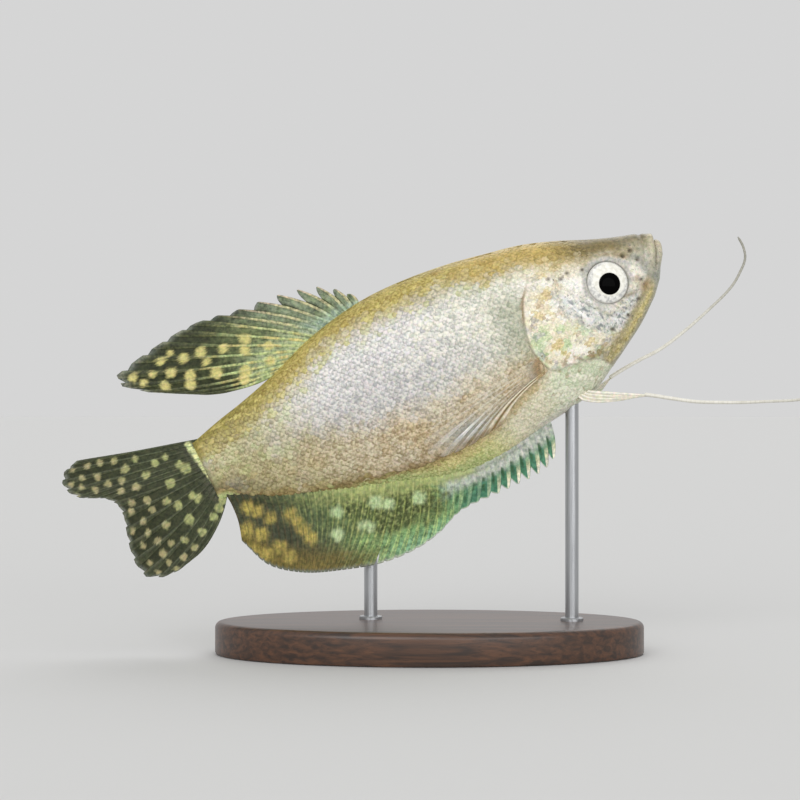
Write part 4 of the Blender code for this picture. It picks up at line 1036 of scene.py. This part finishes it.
def fin_columns(rays, notches, spines, widths, webs=(0.12, 0.34, 0.56, 0.78, 0.95), fillet=0.0):
    """Columns across the fin: five to each ray, whose outer ones become branches, and the web behind it.

    The web runs out to its own spine's tip and is cut back towards the next one. Gives points, half
    thickness, ridge share, the position across, counted in rays, and the rows' positions."""
    count = len(rays)
    v = np.concatenate([[0, 0], np.linspace(0, 1, rays.shape[1] - 2)])
    ray_half, web_half, spine_width, soft_width = widths
    fork = smooth(0.45, 1.0, v)
    along = np.gradient(rays, axis=1)
    along /= np.linalg.norm(along, axis=2)[..., None]
    steps = np.diff(rays, axis=0)
    gaps = steps - along[:-1] * (steps * along[:-1]).sum(axis=2)[..., None]
    gaps = np.maximum(np.linalg.norm(gaps, axis=2), 0.05)
    web = web_half * (1 - 0.4 * v)
    rows = np.linspace(0, 1, len(v))

    def reach(i, gap):
        """Half width of ray i and of its sloping side, as shares of the gap beside it."""
        if i < spines:
            wide, side = spine_width * np.sqrt(1 - 0.96 * v**2), 0.10 * (1 - 0.5 * v)
        else:
            wide, side = soft_width * (1 - 0.55 * v) + 0.22 * gap * fork, 0.09 - 0.02 * v
        return np.minimum(wide / gap, 0.31), np.minimum(side / gap, 0.12)

    columns, half, ridges, across = [], [], [], []
    for i in range(count):
        ahead, behind = max(i - 1, 0), min(i, count - 2)
        inner, rim = reach(i, gaps[ahead])
        outer, hem = reach(i, gaps[behind])
        if i < spines:
            core, middle = ray_half * (1 - 0.6 * v), 1 + 0 * v
        else:
            core = (1 - fork) * ray_half * (1 - 0.5 * v) + fork * web
            middle = 1 - 0.8 * smooth(0.5, 0.8, v)
        edge = 0.85 * ray_half * (1 - 0.6 * v)
        for step, share, height, shade in (
                (ahead, -inner - rim, web, 0 * v), (ahead, -inner, edge, 0.9 + 0 * v),
                (behind, 0 * v, core, middle), (behind, outer, edge, 0.9 + 0 * v),
                (behind, outer + hem, web, 0 * v)):
            columns.append(rays[i] + steps[step] * share[:, None])
            half.append(height)
            ridges.append(shade)
            across.append(i + share)
        if i + 1 < count:
            first, last = across[-1], 1 - sum(reach(i + 1, gaps[i]))
            for f in webs:
                share = (first - i) * (1 - f) + last * f
                line = rays[i] + steps[i] * share[:, None]
                kept = rows * (1 - notches[i] * f)
                columns.append(np.array([np.interp(kept, rows, axis) for axis in line.T]).T)
                half.append(web)
                ridges.append(0 * v)
                across.append(i + share)
    half = np.array(half) + fillet * smooth(0.13, 0.0, v)
    return np.array(columns), half, np.array(ridges), np.array(across), v


def grid_normals(columns):
    """Unit normals of a grid of points, on the fish's left."""
    normals = np.cross(np.gradient(columns, axis=1), np.gradient(columns, axis=0))
    normals /= np.maximum(np.linalg.norm(normals, axis=2)[..., None], 1e-9)
    return normals * np.sign(normals[..., 1:2].mean())


def fin_piece(name, sheet, paint, finish, replaced):
    """A closed thin fin. paint(x, z, across, v) gives web colour, ray colour, cover and speckle."""
    columns, half, ridges, across, v = sheet
    n, m = columns.shape[:2]
    raised = grid_normals(columns) * half[..., None]
    points = np.concatenate([(columns + raised).reshape(-1, 3), (columns - raised).reshape(-1, 3)])
    a = (np.arange(n - 1)[:, None] * m + np.arange(m - 1)).ravel()
    b = a + m
    top = np.stack([a, b, b + 1, a + 1], axis=1)
    below = np.stack([a, a + 1, b + 1, b], axis=1) + n * m
    order = np.arange(n * m).reshape(n, m)
    loop = np.concatenate([order[:, 0], order[-1, 1:], order[-2::-1, -1], order[0, -2:0:-1]])
    after = np.roll(loop, -1)
    rim = np.stack([after, loop, loop + n * m, after + n * m], axis=1)
    faces = np.concatenate([top, below, rim])
    flat, across = columns.reshape(-1, 3), across.ravel()
    web, ray, cover, speckle = paint(flat[:, 0], flat[:, 2], across, np.broadcast_to(v, (n, m)).ravel())
    steps = np.linalg.norm(np.diff(columns, axis=1, prepend=columns[:, :1]), axis=2)
    length = np.cumsum(steps, axis=1).ravel()
    side = np.broadcast_arrays(np.linspace(0.01, 0.48, n)[:, None], np.linspace(0.01, 0.98, m))
    uv = np.stack(side, axis=-1).reshape(-1, 2)
    uv = np.concatenate([uv, uv + (0.5, 0.0)])
    fields = {"web_colour": web, "ray_colour": ray, "ridge": ridges.ravel(), "cover": cover + 0 * across,
              "speckle": speckle + 0 * across,
              "lie": np.column_stack([2.6 * across, 0.5 * length, 0 * across])}
    fields = {key: np.concatenate([value, value]) for key, value in fields.items()}
    fin = mesh_object(name, to_model(points), faces.tolist(), finish, fields, uv[faces.ravel()])
    faces_out(fin)
    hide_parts(*replaced)
    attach(fin, "root")
    return fin


def spots(x, z, marks, soft=0.25):
    """How much of a point lies in any of the (x, z, radius) spots."""
    inside = [smooth(r + soft, r - soft, np.hypot(x - a, z - b)) for a, b, r in marks]
    return np.max(inside, axis=0)


def layered(x, base, *coats):
    """Colours from a base and the (hex, mask) coats painted over it."""
    made = np.repeat(linear(base)[None], len(x), axis=0)
    for code, mask in coats:
        share = np.clip(mask, 0, 1)[:, None]
        made = made * (1 - share) + linear(code) * share
    return made


def dorsal_paint(x, z, across, v):
    """Grey-green webs and straw rays in front, dark olive with pale spots behind."""
    t = across / (DORSAL_SPINES + DORSAL_RAYS - 1)
    f = across - np.floor(across)
    where = np.column_stack([x, 0 * x, z])
    ragged, blotch = cloud(where, 0.8), cloud(where, 2.0, 4.0)
    rear = smooth(0.44, 0.80, t + 0.75 * (v - 0.55) + 0.06 * ragged)
    soft = smooth(0.4, 0.55, t)
    mark = spots(x + 0.18 * ragged, z + 0.22 * ragged, DORSAL_SPOTS)
    # Painted shade on the web just ahead of each next spine
    spine_shadow = smooth(0.62, 0.95, f) * smooth(0.02, 0.2, v)
    web = layered(x, "#78846A", ("#95A795", smooth(0.32, 0.05, v) * (1 - 0.5 * soft)),
                  ("#6E7B57", smooth(-0.1, 0.6, blotch) * 0.6), ("#67714A", soft * smooth(0.15, 0.45, v)),
                  ("#2F341E", rear), ("#48502F", spine_shadow * 0.6),
                  ("#A3AE82", soft * smooth(0.38, 0.12, v) * 0.85), ("#C9C17B", mark),
                  ("#6F756A", smooth(0.94, 1.0, v) * 0.8))
    ray = layered(x, "#B9B48B", ("#9FB396", smooth(0.35, 0.1, v) * (1 - soft)),
                  ("#C8B9A0", smooth(0.6, 0.9, v) * (1 - soft)), ("#AEBB82", soft),
                  ("#C9B673", soft * smooth(0.0, 0.6, blotch) * 0.7),
                  ("#51553A", rear * smooth(0.3, 0.62, v)), ("#D6CA89", mark * 0.95),
                  ("#9B9D88", smooth(0.92, 1.0, v) * soft * 0.7))
    return web, ray, 0.97 - 0.15 * smooth(0.95, 1.0, v), 0.75 - 0.45 * mark


def anal_paint(x, z, across, v):
    """Green webs with straw spines in front, olive freckled dark and pale in the middle, gold bars behind."""
    where = np.column_stack([x, 0 * x, z])
    fleck, ragged, blotch = cloud(where, 0.55, 2.0), cloud(where, 1.0), cloud(where, 2.6, 5.0)
    f = across - np.floor(across)
    front = smooth(33, 43, x + 2.0 * blotch)
    rear = smooth(23, 8, x + 0.35 * (z + 20) + 1.8 * blotch + 1.6 * fleck)
    middle = (1 - front) * (1 - rear)
    teal = smooth(0.55, 0.9, v) * smooth(20, 26, x) * smooth(38, 34, x)
    near_x, near_z = x + 0.3 * ragged, z + 0.3 * ragged
    pale = spots(near_x, near_z, ANAL_SPOTS, 0.6) * (1.0 - 0.25 * smooth(-0.1, -0.6, fleck))
    gold = spots(near_x, near_z, ANAL_GOLD, 0.9) * (0.95 - 0.35 * smooth(0.5, 0.8, f))
    root = smooth(0.22, 0.02, v + 0.05 * ragged) * (1 - 0.8 * rear) * smooth(50, 42, x + 3 * blotch)
    inner = smooth(0.72, 0.5, v + 0.09 * blotch) * smooth(38, 34, x + 2 * ragged) * (1 - rear)
    freckle = smooth(0.1, 0.5, fleck)
    between = smooth(0.25, 0.4, v) * smooth(0.9, 0.6, v) * ridge(f - 0.6, 0.22) * smooth(-0.7, 0.0, ragged)
    hem = smooth(0.95, 0.99, v)
    spine = front * smooth(0.4, 0.75, v) * smooth(42, 51, x)
    web = layered(x, "#7F9E66", ("#87AE80", middle * smooth(0.75, 1.0, v)), ("#74A588", teal * 0.45),
                  ("#4F8368", front), ("#BCC1B6", front * smooth(0.52, 0.3, v)),
                  ("#35502F", front * between * 0.9), ("#484D2A", inner * 0.9),
                  ("#8F9A62", inner * freckle * 0.7), ("#AEB878", root * 0.85), ("#3F4032", rear * 0.95),
                  ("#393A28", rear * smooth(0.1, 0.6, blotch) * 0.6),
                  ("#6B5F2E", rear * smooth(0.55, 0.9, v) * 0.8), ("#B3C795", pale), ("#B09F54", gold * 0.93),
                  ("#C3CDB8", hem * (1 - rear)), ("#6C7164", hem * rear))
    ray = layered(x, "#AAC07C", ("#A5CDA0", middle * smooth(0.8, 1.0, v) * 0.6), ("#7C9F80", front),
                  ("#DDD9B2", spine), ("#B5BBAE", front * smooth(0.5, 0.25, v) * 0.9),
                  ("#6E743F", inner * 0.85), ("#A3AB6C", inner * freckle * 0.7), ("#B6BE80", root * 0.85),
                  ("#4A4733", rear), ("#81713A", rear * smooth(0.55, 0.9, v) * 0.8), ("#C1D3A3", pale),
                  ("#B6A459", gold * 0.95), ("#EFEAD6", spine * smooth(0.6, 0.9, v)),
                  ("#D9DFD0", hem * (1 - rear)), ("#7B8071", hem * rear))
    speckle = 0.75 - 0.35 * np.max([pale, hem, root], axis=0) - 0.25 * front - 0.2 * rear
    return web, ray, 0.98 - 0.1 * hem, speckle


def caudal_paint(x, z, across, v):
    """Dark olive with pale spots, and a pale bar across the root."""
    where = np.column_stack([x, 0 * x, z])
    ragged = cloud(where, 0.8)
    mark = spots(x + 0.2 * ragged, z + 0.25 * cloud(where, 0.7, 3.0), CAUDAL_SPOTS, 0.2)
    mark *= 0.92 - 0.25 * smooth(0.0, 0.7, cloud(where, 0.6, 8.0))
    bar = smooth(0.72, 0.42, line_distance(CAUDAL_BAR(np.linspace(0, 1, 60)), x, z) + 0.12 * ragged)
    far = smooth(0.35, 0.8, v)
    web = layered(x, "#3C412C", ("#5A5A4B", smooth(0.22, 0.0, v)), ("#30341F", far), ("#A9AE74", mark * 0.95),
                  ("#9A8A69", mark * far * 0.75), ("#7C8072", smooth(0.96, 0.995, v) * 0.8), ("#CDD398", bar))
    ray = layered(x, "#565B44", ("#36392A", smooth(0.42, 0.1, v) * 0.6), ("#4A4E38", far * 0.7),
                  ("#B5B983", mark * 0.9), ("#B3A582", mark * far * 0.7), ("#D3D8A4", bar))
    return web, ray, 0.97 - 0.15 * smooth(0.96, 1.0, v), 0.55 - 0.25 * mark


def pectoral_paint(x, z, across, v):
    """Clear web, paler rays with a painted highlight on some of them, and a lower border of two pale rays and
    a brown one that is partly painted shade along the fin's edge.
    """
    lower = smooth(PECTORAL_RAYS - 2.8, PECTORAL_RAYS - 2.0, across)
    # Brown line between the two pale lower rays, partly painted shade along the fin's lower edge
    dark = ridge(across - (PECTORAL_RAYS - 1.5), 0.32)
    tips = smooth(0.8, 0.93, v) * smooth(4.5, 6.5, across)
    root = smooth(0.10, 0.03, v)
    f = across - np.floor(across)
    near = np.minimum(f, 1 - f)
    # Painted highlight: white, more opaque rays over the shiny patch on the flank
    painted_highlight = ridge(np.hypot((x - 45.8) / 4.0, (z + 14.4) / 1.4), 1.0)
    web = layered(x, "#DAD6C6", ("#7C827A", painted_highlight * 0.7), ("#E3DBC2", lower),
                  ("#7B643C", np.maximum(dark, 0.85 * tips)), ("#BFA87F", root))
    ray = layered(x, "#ECEAE0", ("#FFFFFF", painted_highlight), ("#EFE6CC", lower),
                  ("#7B643C", np.maximum(dark, 0.7 * tips)), ("#A98F66", root * 0.9))
    cover = 0.05 + 0.15 * smooth(0.3, 0.1, near) + painted_highlight * (0.25 + 0.5 * smooth(0.35, 0.1, near))
    cover = np.maximum(cover, 0.85 * np.maximum(lower * smooth(0.5, 0.25, near), dark) * smooth(1.0, 0.9, v))
    return web, ray, np.clip(cover + 0.4 * root + 0.5 * tips, 0, 0.95), 0.3


def thin_paint(x, z, across, v):
    """Pelvic lobe: cream webs and rays, opaque."""
    return layered(x, "#D2CCB8"), layered(x, "#EEEADB"), 0.98, 0.22


def build_median_fins():
    """Dorsal, anal and tail fin, each one membrane on its rays."""
    finish = fin_material("cast_fin_membrane", 0.42)

    def dorsal_root(t):
        x = DORSAL_FRONT + (DORSAL_REAR - DORSAL_FRONT) * t
        return x, BACK(x)

    rays = fin_rays(DORSAL_SPINES + DORSAL_RAYS, 64, dorsal_root, lambda t: DORSAL_TIPS(t**1.1),
                    lambda t: -0.08 * (1 - t) + 0.05 * t,
                    lambda t, v, x, z: 1.1 * swing(v) * math.sin(2.6 * t + 0.4))
    sheet = fin_columns(rays, DORSAL_CUTS + (0.03,) * DORSAL_RAYS, DORSAL_SPINES, DORSAL_BUILD, fillet=0.3)
    fin_piece("dorsal_membrane", sheet, dorsal_paint, finish, ["dorsal_fin"])

    rays = fin_rays(ANAL_SPINES + ANAL_RAYS, 52, lambda t: (ANAL_ROOT(t), BELLY(ANAL_ROOT(t))),
                    lambda t: ANAL_TIPS(ANAL_LEAN(t)), lambda t: 0.05,
                    lambda t, v, x, z: 0.8 * swing(v) * math.sin(7.0 * t))
    cuts = [*ANAL_CUTS, *[0.025] * ANAL_RAYS]
    cuts[ANAL_SLIT] = 0.16
    sheet = fin_columns(rays, cuts, ANAL_SPINES, ANAL_BUILD, (0.15, 0.4, 0.65, 0.9), 0.35)
    fin_piece("anal_membrane", sheet, anal_paint, finish, ["anal_fin"])

    top, bottom = BACK(TAIL_END) - GAP, BELLY(TAIL_END) + GAP
    rays = fin_rays(CAUDAL_RAYS, 72, lambda t: (TAIL_END, top + (bottom - top) * t),
                    lambda t: CAUDAL_TIPS(CAUDAL_LEAN(t)), lambda t: 0.08 * t**3,
                    lambda t, v, x, z: -1.8 * swing(v) * math.cos(2.2 * (t - 0.5)))
    sheet = fin_columns(rays, [0.02] * CAUDAL_RAYS, 0, CAUDAL_BUILD, (0.1, 0.26, 0.42, 0.58, 0.74, 0.9))
    fin_piece("tail_membrane", sheet, caudal_paint, finish, ["caudal_fin_upper", "caudal_fin_lower"])


def thread_tree():
    """Sweeps a round section along a line of points, scaled by each point's own radius."""
    tree, given = node_group("sweep_thread", Sides="Int", Finish="Material")
    line = add(tree, "GeometryNodeMeshToCurve", None, {"Mesh": given["Geometry"]})
    ring = add(tree, "GeometryNodeCurvePrimitiveCircle", {"mode": "RADIUS"},
               {"Resolution": given["Sides"], "Radius": 1.0})
    swept = add(tree, "GeometryNodeCurveToMesh", None,
                {"Curve": line.outputs[0], "Profile Curve": ring.outputs["Curve"],
                 "Scale": named(tree, "girth", "FLOAT"), "Fill Caps": True})
    soft = add(tree, "GeometryNodeSetShadeSmooth", None, {"Geometry": swept.outputs[0]})
    real = add(tree, "GeometryNodeRealizeInstances", None, {"Geometry": soft.outputs[0]})
    return finished(tree, real.outputs[0], given["Finish"])


def build_paired_fins():
    """Pectoral fins against the flanks, and pelvic fins with their long threads."""
    clear = fin_material("clear_fin_membrane", 0.3)
    front, rear = np.array(PECTORAL_ROOT)
    for side, word in ((-1, "right"), (1, "left")):
        rays = fin_rays(PECTORAL_RAYS, 40, lambda t: front * (1 - t) + rear * t, PECTORAL_TIPS,
                        lambda t: -0.06 * t,
                        lambda t, v, x, z: side * (flank(x, z) + 0.75 + 1.5 * swing(v, 1.3) - 0.5 * (v < 0)))
        sheet = fin_columns(rays, [0.03] * PECTORAL_RAYS, 0, PECTORAL_BUILD)
        fin_piece("pectoral_membrane_" + word, sheet, pectoral_paint, clear, ["pectoral_fin_" + word])

    lobe_finish, thread_finish, tree = fin_material("cast_pelvic_lobe", 0.4), thread_material(), thread_tree()
    for side, word, thread in ((-1, "right", RIGHT_THREAD), (1, "left", LEFT_THREAD)):
        rays = []
        for i in range(PELVIC_RAYS):
            x = PELVIC_X - 0.65 * i
            root = np.array((x, side * PELVIC_HALF, under(x, PELVIC_HALF) - 0.1))
            end = thread(LOBE_SHARE[word] * (1 - 0.16 * i)) - (0, 0, LOBE_DEPTH[word] * i)
            knee = root + (0.9, side * 0.3, -0.6 - LOBE_DEPTH[word] * i)
            v = fin_rows(np.linalg.norm(end - root), 30)[:, None]
            rays.append(root * (1 - v) ** 2 + knee * 2 * v * (1 - v) + end * v**2)
        sheet = fin_columns(np.array(rays), [0.06] * PELVIC_RAYS, 1, PELVIC_BUILD)
        fin_piece("pelvic_lobe_" + word, sheet, thin_paint, lobe_finish, ["pelvic_fin_" + word])
        t = np.linspace(LOBE_SHARE[word] * 0.86, 1.0, 150)
        line = thread(t)
        length = np.concatenate([[0.0], np.cumsum(np.linalg.norm(np.diff(line, axis=0), axis=1))])
        wave = 0.012 * np.sin(length * THREAD_BEAT)
        girth = (0.42 - 0.20 * t**0.8 + wave) * smooth(1.012, 0.985, t)
        fade = smooth(0.35, 1.0, t) * (0.95 if word == "left" else 0.45)
        fields = {"girth": np.maximum(girth, 0.06) * MM, "along": length,
                  "light_colour": layered(t, "#F1EFE6", ("#A3A194", fade)),
                  "dark_colour": layered(t, "#C9C5B6", ("#6F6D60", fade))}
        source = mesh_object("thread_line", to_model(line), [], None, fields)
        source.data.edges.add(len(line) - 1)
        ends = np.arange(len(line) - 1)[:, None] + (0, 1)
        source.data.edges.foreach_set("vertices", ends.ravel())
        source.data.update()
        piece = made_real("pelvic_thread_" + word, source, tree, {"Sides": 16, "Finish": thread_finish})
        faces_out(piece)
        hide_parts(f"pelvic_thread_{word}_1", f"pelvic_thread_{word}_2")
        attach(piece, "root")


def turned_piece(name, rings, finish):
    """A closed piece from rings of (x, y, z) points in millimetres, capped at both ends."""
    points = np.concatenate([*rings, [np.mean(rings[0], axis=0), np.mean(rings[-1], axis=0)]])
    made = mesh_object(name, points * MM, ring_faces(len(rings), len(rings[0])), finish)
    faces_out(made)
    made.data.set_sharp_from_angle(angle=math.radians(40.0))
    return made


def build_stand(settings):
    """An oval turned base with softened edges, and two steel rods up into the body."""
    edge = settings.base_edge / MM
    profile = [(BASE_EDGE, 0.0), (0.35, 0.0), (0.1, 0.1), (0.0, 0.4)]
    profile += [(edge * (1 - math.sin(a)), BASE_HEIGHT - edge * (1 - math.cos(a)))
                for a in np.radians(np.arange(90, -1, -9))]
    across, up = circle(160)
    rings = [np.column_stack([(BASE_LENGTH / 2 - inset) * across, (BASE_WIDTH / 2 - inset) * up, z + 0 * up])
             for inset, z in (*profile, (4.0, BASE_HEIGHT))]
    base = turned_piece("wooden_base", rings, wood_material(settings))
    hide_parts("stand_base")
    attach(base, "root")
    steel = steel_material()
    across, up = circle(48)
    for name, ((x, y), top) in RODS.items():
        rod = [(0.0, BASE_HEIGHT - 0.5), (0.0, top - 0.2), (-0.2, top)]
        collar = [(0.9, BASE_HEIGHT - 0.3), (0.9, BASE_HEIGHT + 0.45), (0.75, BASE_HEIGHT + 0.6),
                  (-0.1, BASE_HEIGHT + 0.62)]
        for word, shape in (("rod", rod), ("collar", collar)):
            rings = [np.column_stack([x + (ROD_RADIUS + r) * across, y + (ROD_RADIUS + r) * up, z + 0 * up])
                     for r, z in shape]
            piece = turned_piece(name.replace("stand_rod", "steel_" + word), rings, steel)
            if word == "rod":
                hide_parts(name)
            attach(piece, "root")


def build_stage(settings):
    """Pale floor, soft lights and the camera at the photograph's angle."""
    across, up = circle(96)
    points = np.column_stack([settings.floor_reach * across, settings.floor_reach * up, np.full(96, -0.0001)])
    floor = mesh_object("studio_floor", points, [list(range(96))], floor_material(settings), flat=True)
    world = bpy.data.worlds.new("studio")
    world.use_nodes = True
    sky = world.node_tree.nodes["Background"]
    sky.inputs["Color"].default_value = (*settings.sky_colour, 1)
    sky.inputs["Strength"].default_value = settings.sky_strength
    bpy.context.scene.world = world
    for name, place, spread in LAMPS:
        light = bpy.data.lights.new(name, "SUN")
        light.angle = math.radians(spread)
        light.energy = getattr(settings, name + "_power")
        lamp = bpy.data.objects.new(name, light)
        lamp.location = place
        lamp.rotation_euler = Vector(place).to_track_quat("Z", "Y").to_euler()
        bpy.context.scene.collection.objects.link(lamp)
    data = bpy.data.cameras.new("camera")
    data.lens, data.sensor_width, data.clip_start = CAMERA_LENS, 36.0, 0.01
    camera = bpy.data.objects.new("camera", data)
    camera.location = CAMERA_PLACE
    camera.rotation_euler = (math.pi / 2, 0.0, 0.0)
    scene = bpy.context.scene
    scene.collection.objects.link(camera)
    scene.camera = camera
    scene.view_settings.view_transform = "Standard"
    scene.view_settings.look = "None"


def length_setting(name, description, default, low, high):
    return FloatProperty(name=name, description=description, default=default, min=low, max=high, precision=5,
                         unit="LENGTH")


def colour_setting(name, description, code):
    return FloatVectorProperty(name=name, description=description, default=tuple(linear(code)), size=3,
                               subtype="COLOR", min=0.0, max=1.0)


def power_setting(name, description, default):
    return FloatProperty(name=name, description=description, default=default, min=0.0)


class FishSettings(bpy.types.PropertyGroup):
    """Sizes and colours of the fish."""

    scale_pitch: length_setting("Scale pitch", "Distance between scales along a row", 0.00106, 0.0008, 0.004)
    scale_row: length_setting("Row spacing", "Distance between rows of scales", 0.00063, 0.0005, 0.003)
    scale_length: length_setting("Scale length", "Length, with the hidden part", 0.00156, 0.0008, 0.005)
    scale_width: length_setting("Scale width", "Width of one scale", 0.00126, 0.0008, 0.005)
    scale_lift: length_setting("Scale lift", "Height of its free edge over its root", 0.0001, 0.0, 0.001)
    head_scale: FloatProperty(name="Head scales", description="Size of the head's scales next to the flank's",
                              default=0.62, min=0.4, max=1.2, subtype="FACTOR")
    seed: IntProperty(name="Seed", description="Picks the tone and tilt of each scale", default=4, min=0)
    pupil_size: length_setting("Pupil", "Diameter of the pupil", 0.0041, 0.001, 0.006)
    iris_colour: colour_setting("Iris", "Main colour of the iris", "#E3E1D6")


class StandSettings(bpy.types.PropertyGroup):
    """Sizes and colours of the stand."""

    base_edge: length_setting("Edge rounding", "Radius of the base's upper edge", 0.0012, 0.0002, 0.003)
    wood_dark: colour_setting("Dark grain", "Colour of the wood's dark grain", "#2C1C12")
    wood_light: colour_setting("Light grain", "Colour of the wood between the grain lines", "#5B3A24")


class StageSettings(bpy.types.PropertyGroup):
    """The studio's floor and light."""

    floor_reach: length_setting("Floor radius", "Radius of the floor", 6.0, 0.5, 50.0)
    floor_colour: colour_setting("Floor", "Colour of the floor", "#CFCFCE")
    sky_colour: colour_setting("Surroundings", "Colour of the soft light all round", "#F2F2F2")
    sky_strength: power_setting("Surroundings' strength", "Strength of the light all round", 0.75)
    key_power: power_setting("Key light", "Strength of the main light", 1.05)
    fill_power: power_setting("Fill light", "Strength of the light from the right", 0.85)
    back_power: power_setting("Back light", "Strength of the light from behind", 0.7)


class GOURAMI_OT_body(bpy.types.Operator):
    """Builds the skin and lays the scales on it"""

    bl_idname = "gourami.body"
    bl_label = "Skin and scales"

    def execute(self, context):
        build_scales(context.scene.gourami_fish, build_skin())
        return {"FINISHED"}


class GOURAMI_OT_eyes(bpy.types.Operator):
    """Builds both eyes"""

    bl_idname = "gourami.eyes"
    bl_label = "Eyes"

    def execute(self, context):
        build_eyes(context.scene.gourami_fish)
        return {"FINISHED"}


class GOURAMI_OT_median_fins(bpy.types.Operator):
    """Builds the dorsal, anal and tail fins"""

    bl_idname = "gourami.median_fins"
    bl_label = "Dorsal, anal and tail fins"

    def execute(self, context):
        build_median_fins()
        return {"FINISHED"}


class GOURAMI_OT_paired_fins(bpy.types.Operator):
    """Builds the pectoral fins, and the pelvic fins with their threads"""

    bl_idname = "gourami.paired_fins"
    bl_label = "Pectoral and pelvic fins"

    def execute(self, context):
        build_paired_fins()
        return {"FINISHED"}


class GOURAMI_OT_stand(bpy.types.Operator):
    """Builds the wooden base and the steel rods"""

    bl_idname = "gourami.stand"
    bl_label = "Stand"

    def execute(self, context):
        build_stand(context.scene.gourami_stand)
        return {"FINISHED"}


class GOURAMI_OT_stage(bpy.types.Operator):
    """Sets up the floor, the lights and the camera"""

    bl_idname = "gourami.stage"
    bl_label = "Studio"

    def execute(self, context):
        build_stage(context.scene.gourami_stage)
        return {"FINISHED"}


class GOURAMI_PT_panel(bpy.types.Panel):
    """Lists the settings and the pieces"""

    bl_label = "Display gourami"
    bl_idname = "GOURAMI_PT_panel"
    bl_space_type = "VIEW_3D"
    bl_region_type = "UI"
    bl_category = "Gourami"

    def draw(self, context):
        for group, operators in (("gourami_stage", ("stage",)),
                                 ("gourami_fish", ("body", "eyes", "median_fins", "paired_fins")),
                                 ("gourami_stand", ("stand",))):
            box = self.layout.box()
            settings = getattr(context.scene, group)
            for key in settings.__annotations__:
                box.prop(settings, key)
            for word in operators:
                box.operator("gourami." + word)


GROUPS = {"gourami_fish": FishSettings, "gourami_stand": StandSettings, "gourami_stage": StageSettings}
OPERATORS = (GOURAMI_OT_stage, GOURAMI_OT_body, GOURAMI_OT_eyes, GOURAMI_OT_median_fins,
             GOURAMI_OT_paired_fins, GOURAMI_OT_stand)


def register():
    for made in (*GROUPS.values(), *OPERATORS, GOURAMI_PT_panel):
        bpy.utils.register_class(made)
    for key, group in GROUPS.items():
        setattr(bpy.types.Scene, key, PointerProperty(type=group))


def unregister():
    for key in GROUPS:
        delattr(bpy.types.Scene, key)
    for made in (GOURAMI_PT_panel, *reversed(OPERATORS), *GROUPS.values()):
        bpy.utils.unregister_class(made)


def main():
    register()
    for made in OPERATORS:
        group, name = made.bl_idname.split(".")
        getattr(getattr(bpy.ops, group), name)()


if __name__ == "__main__":
    main()
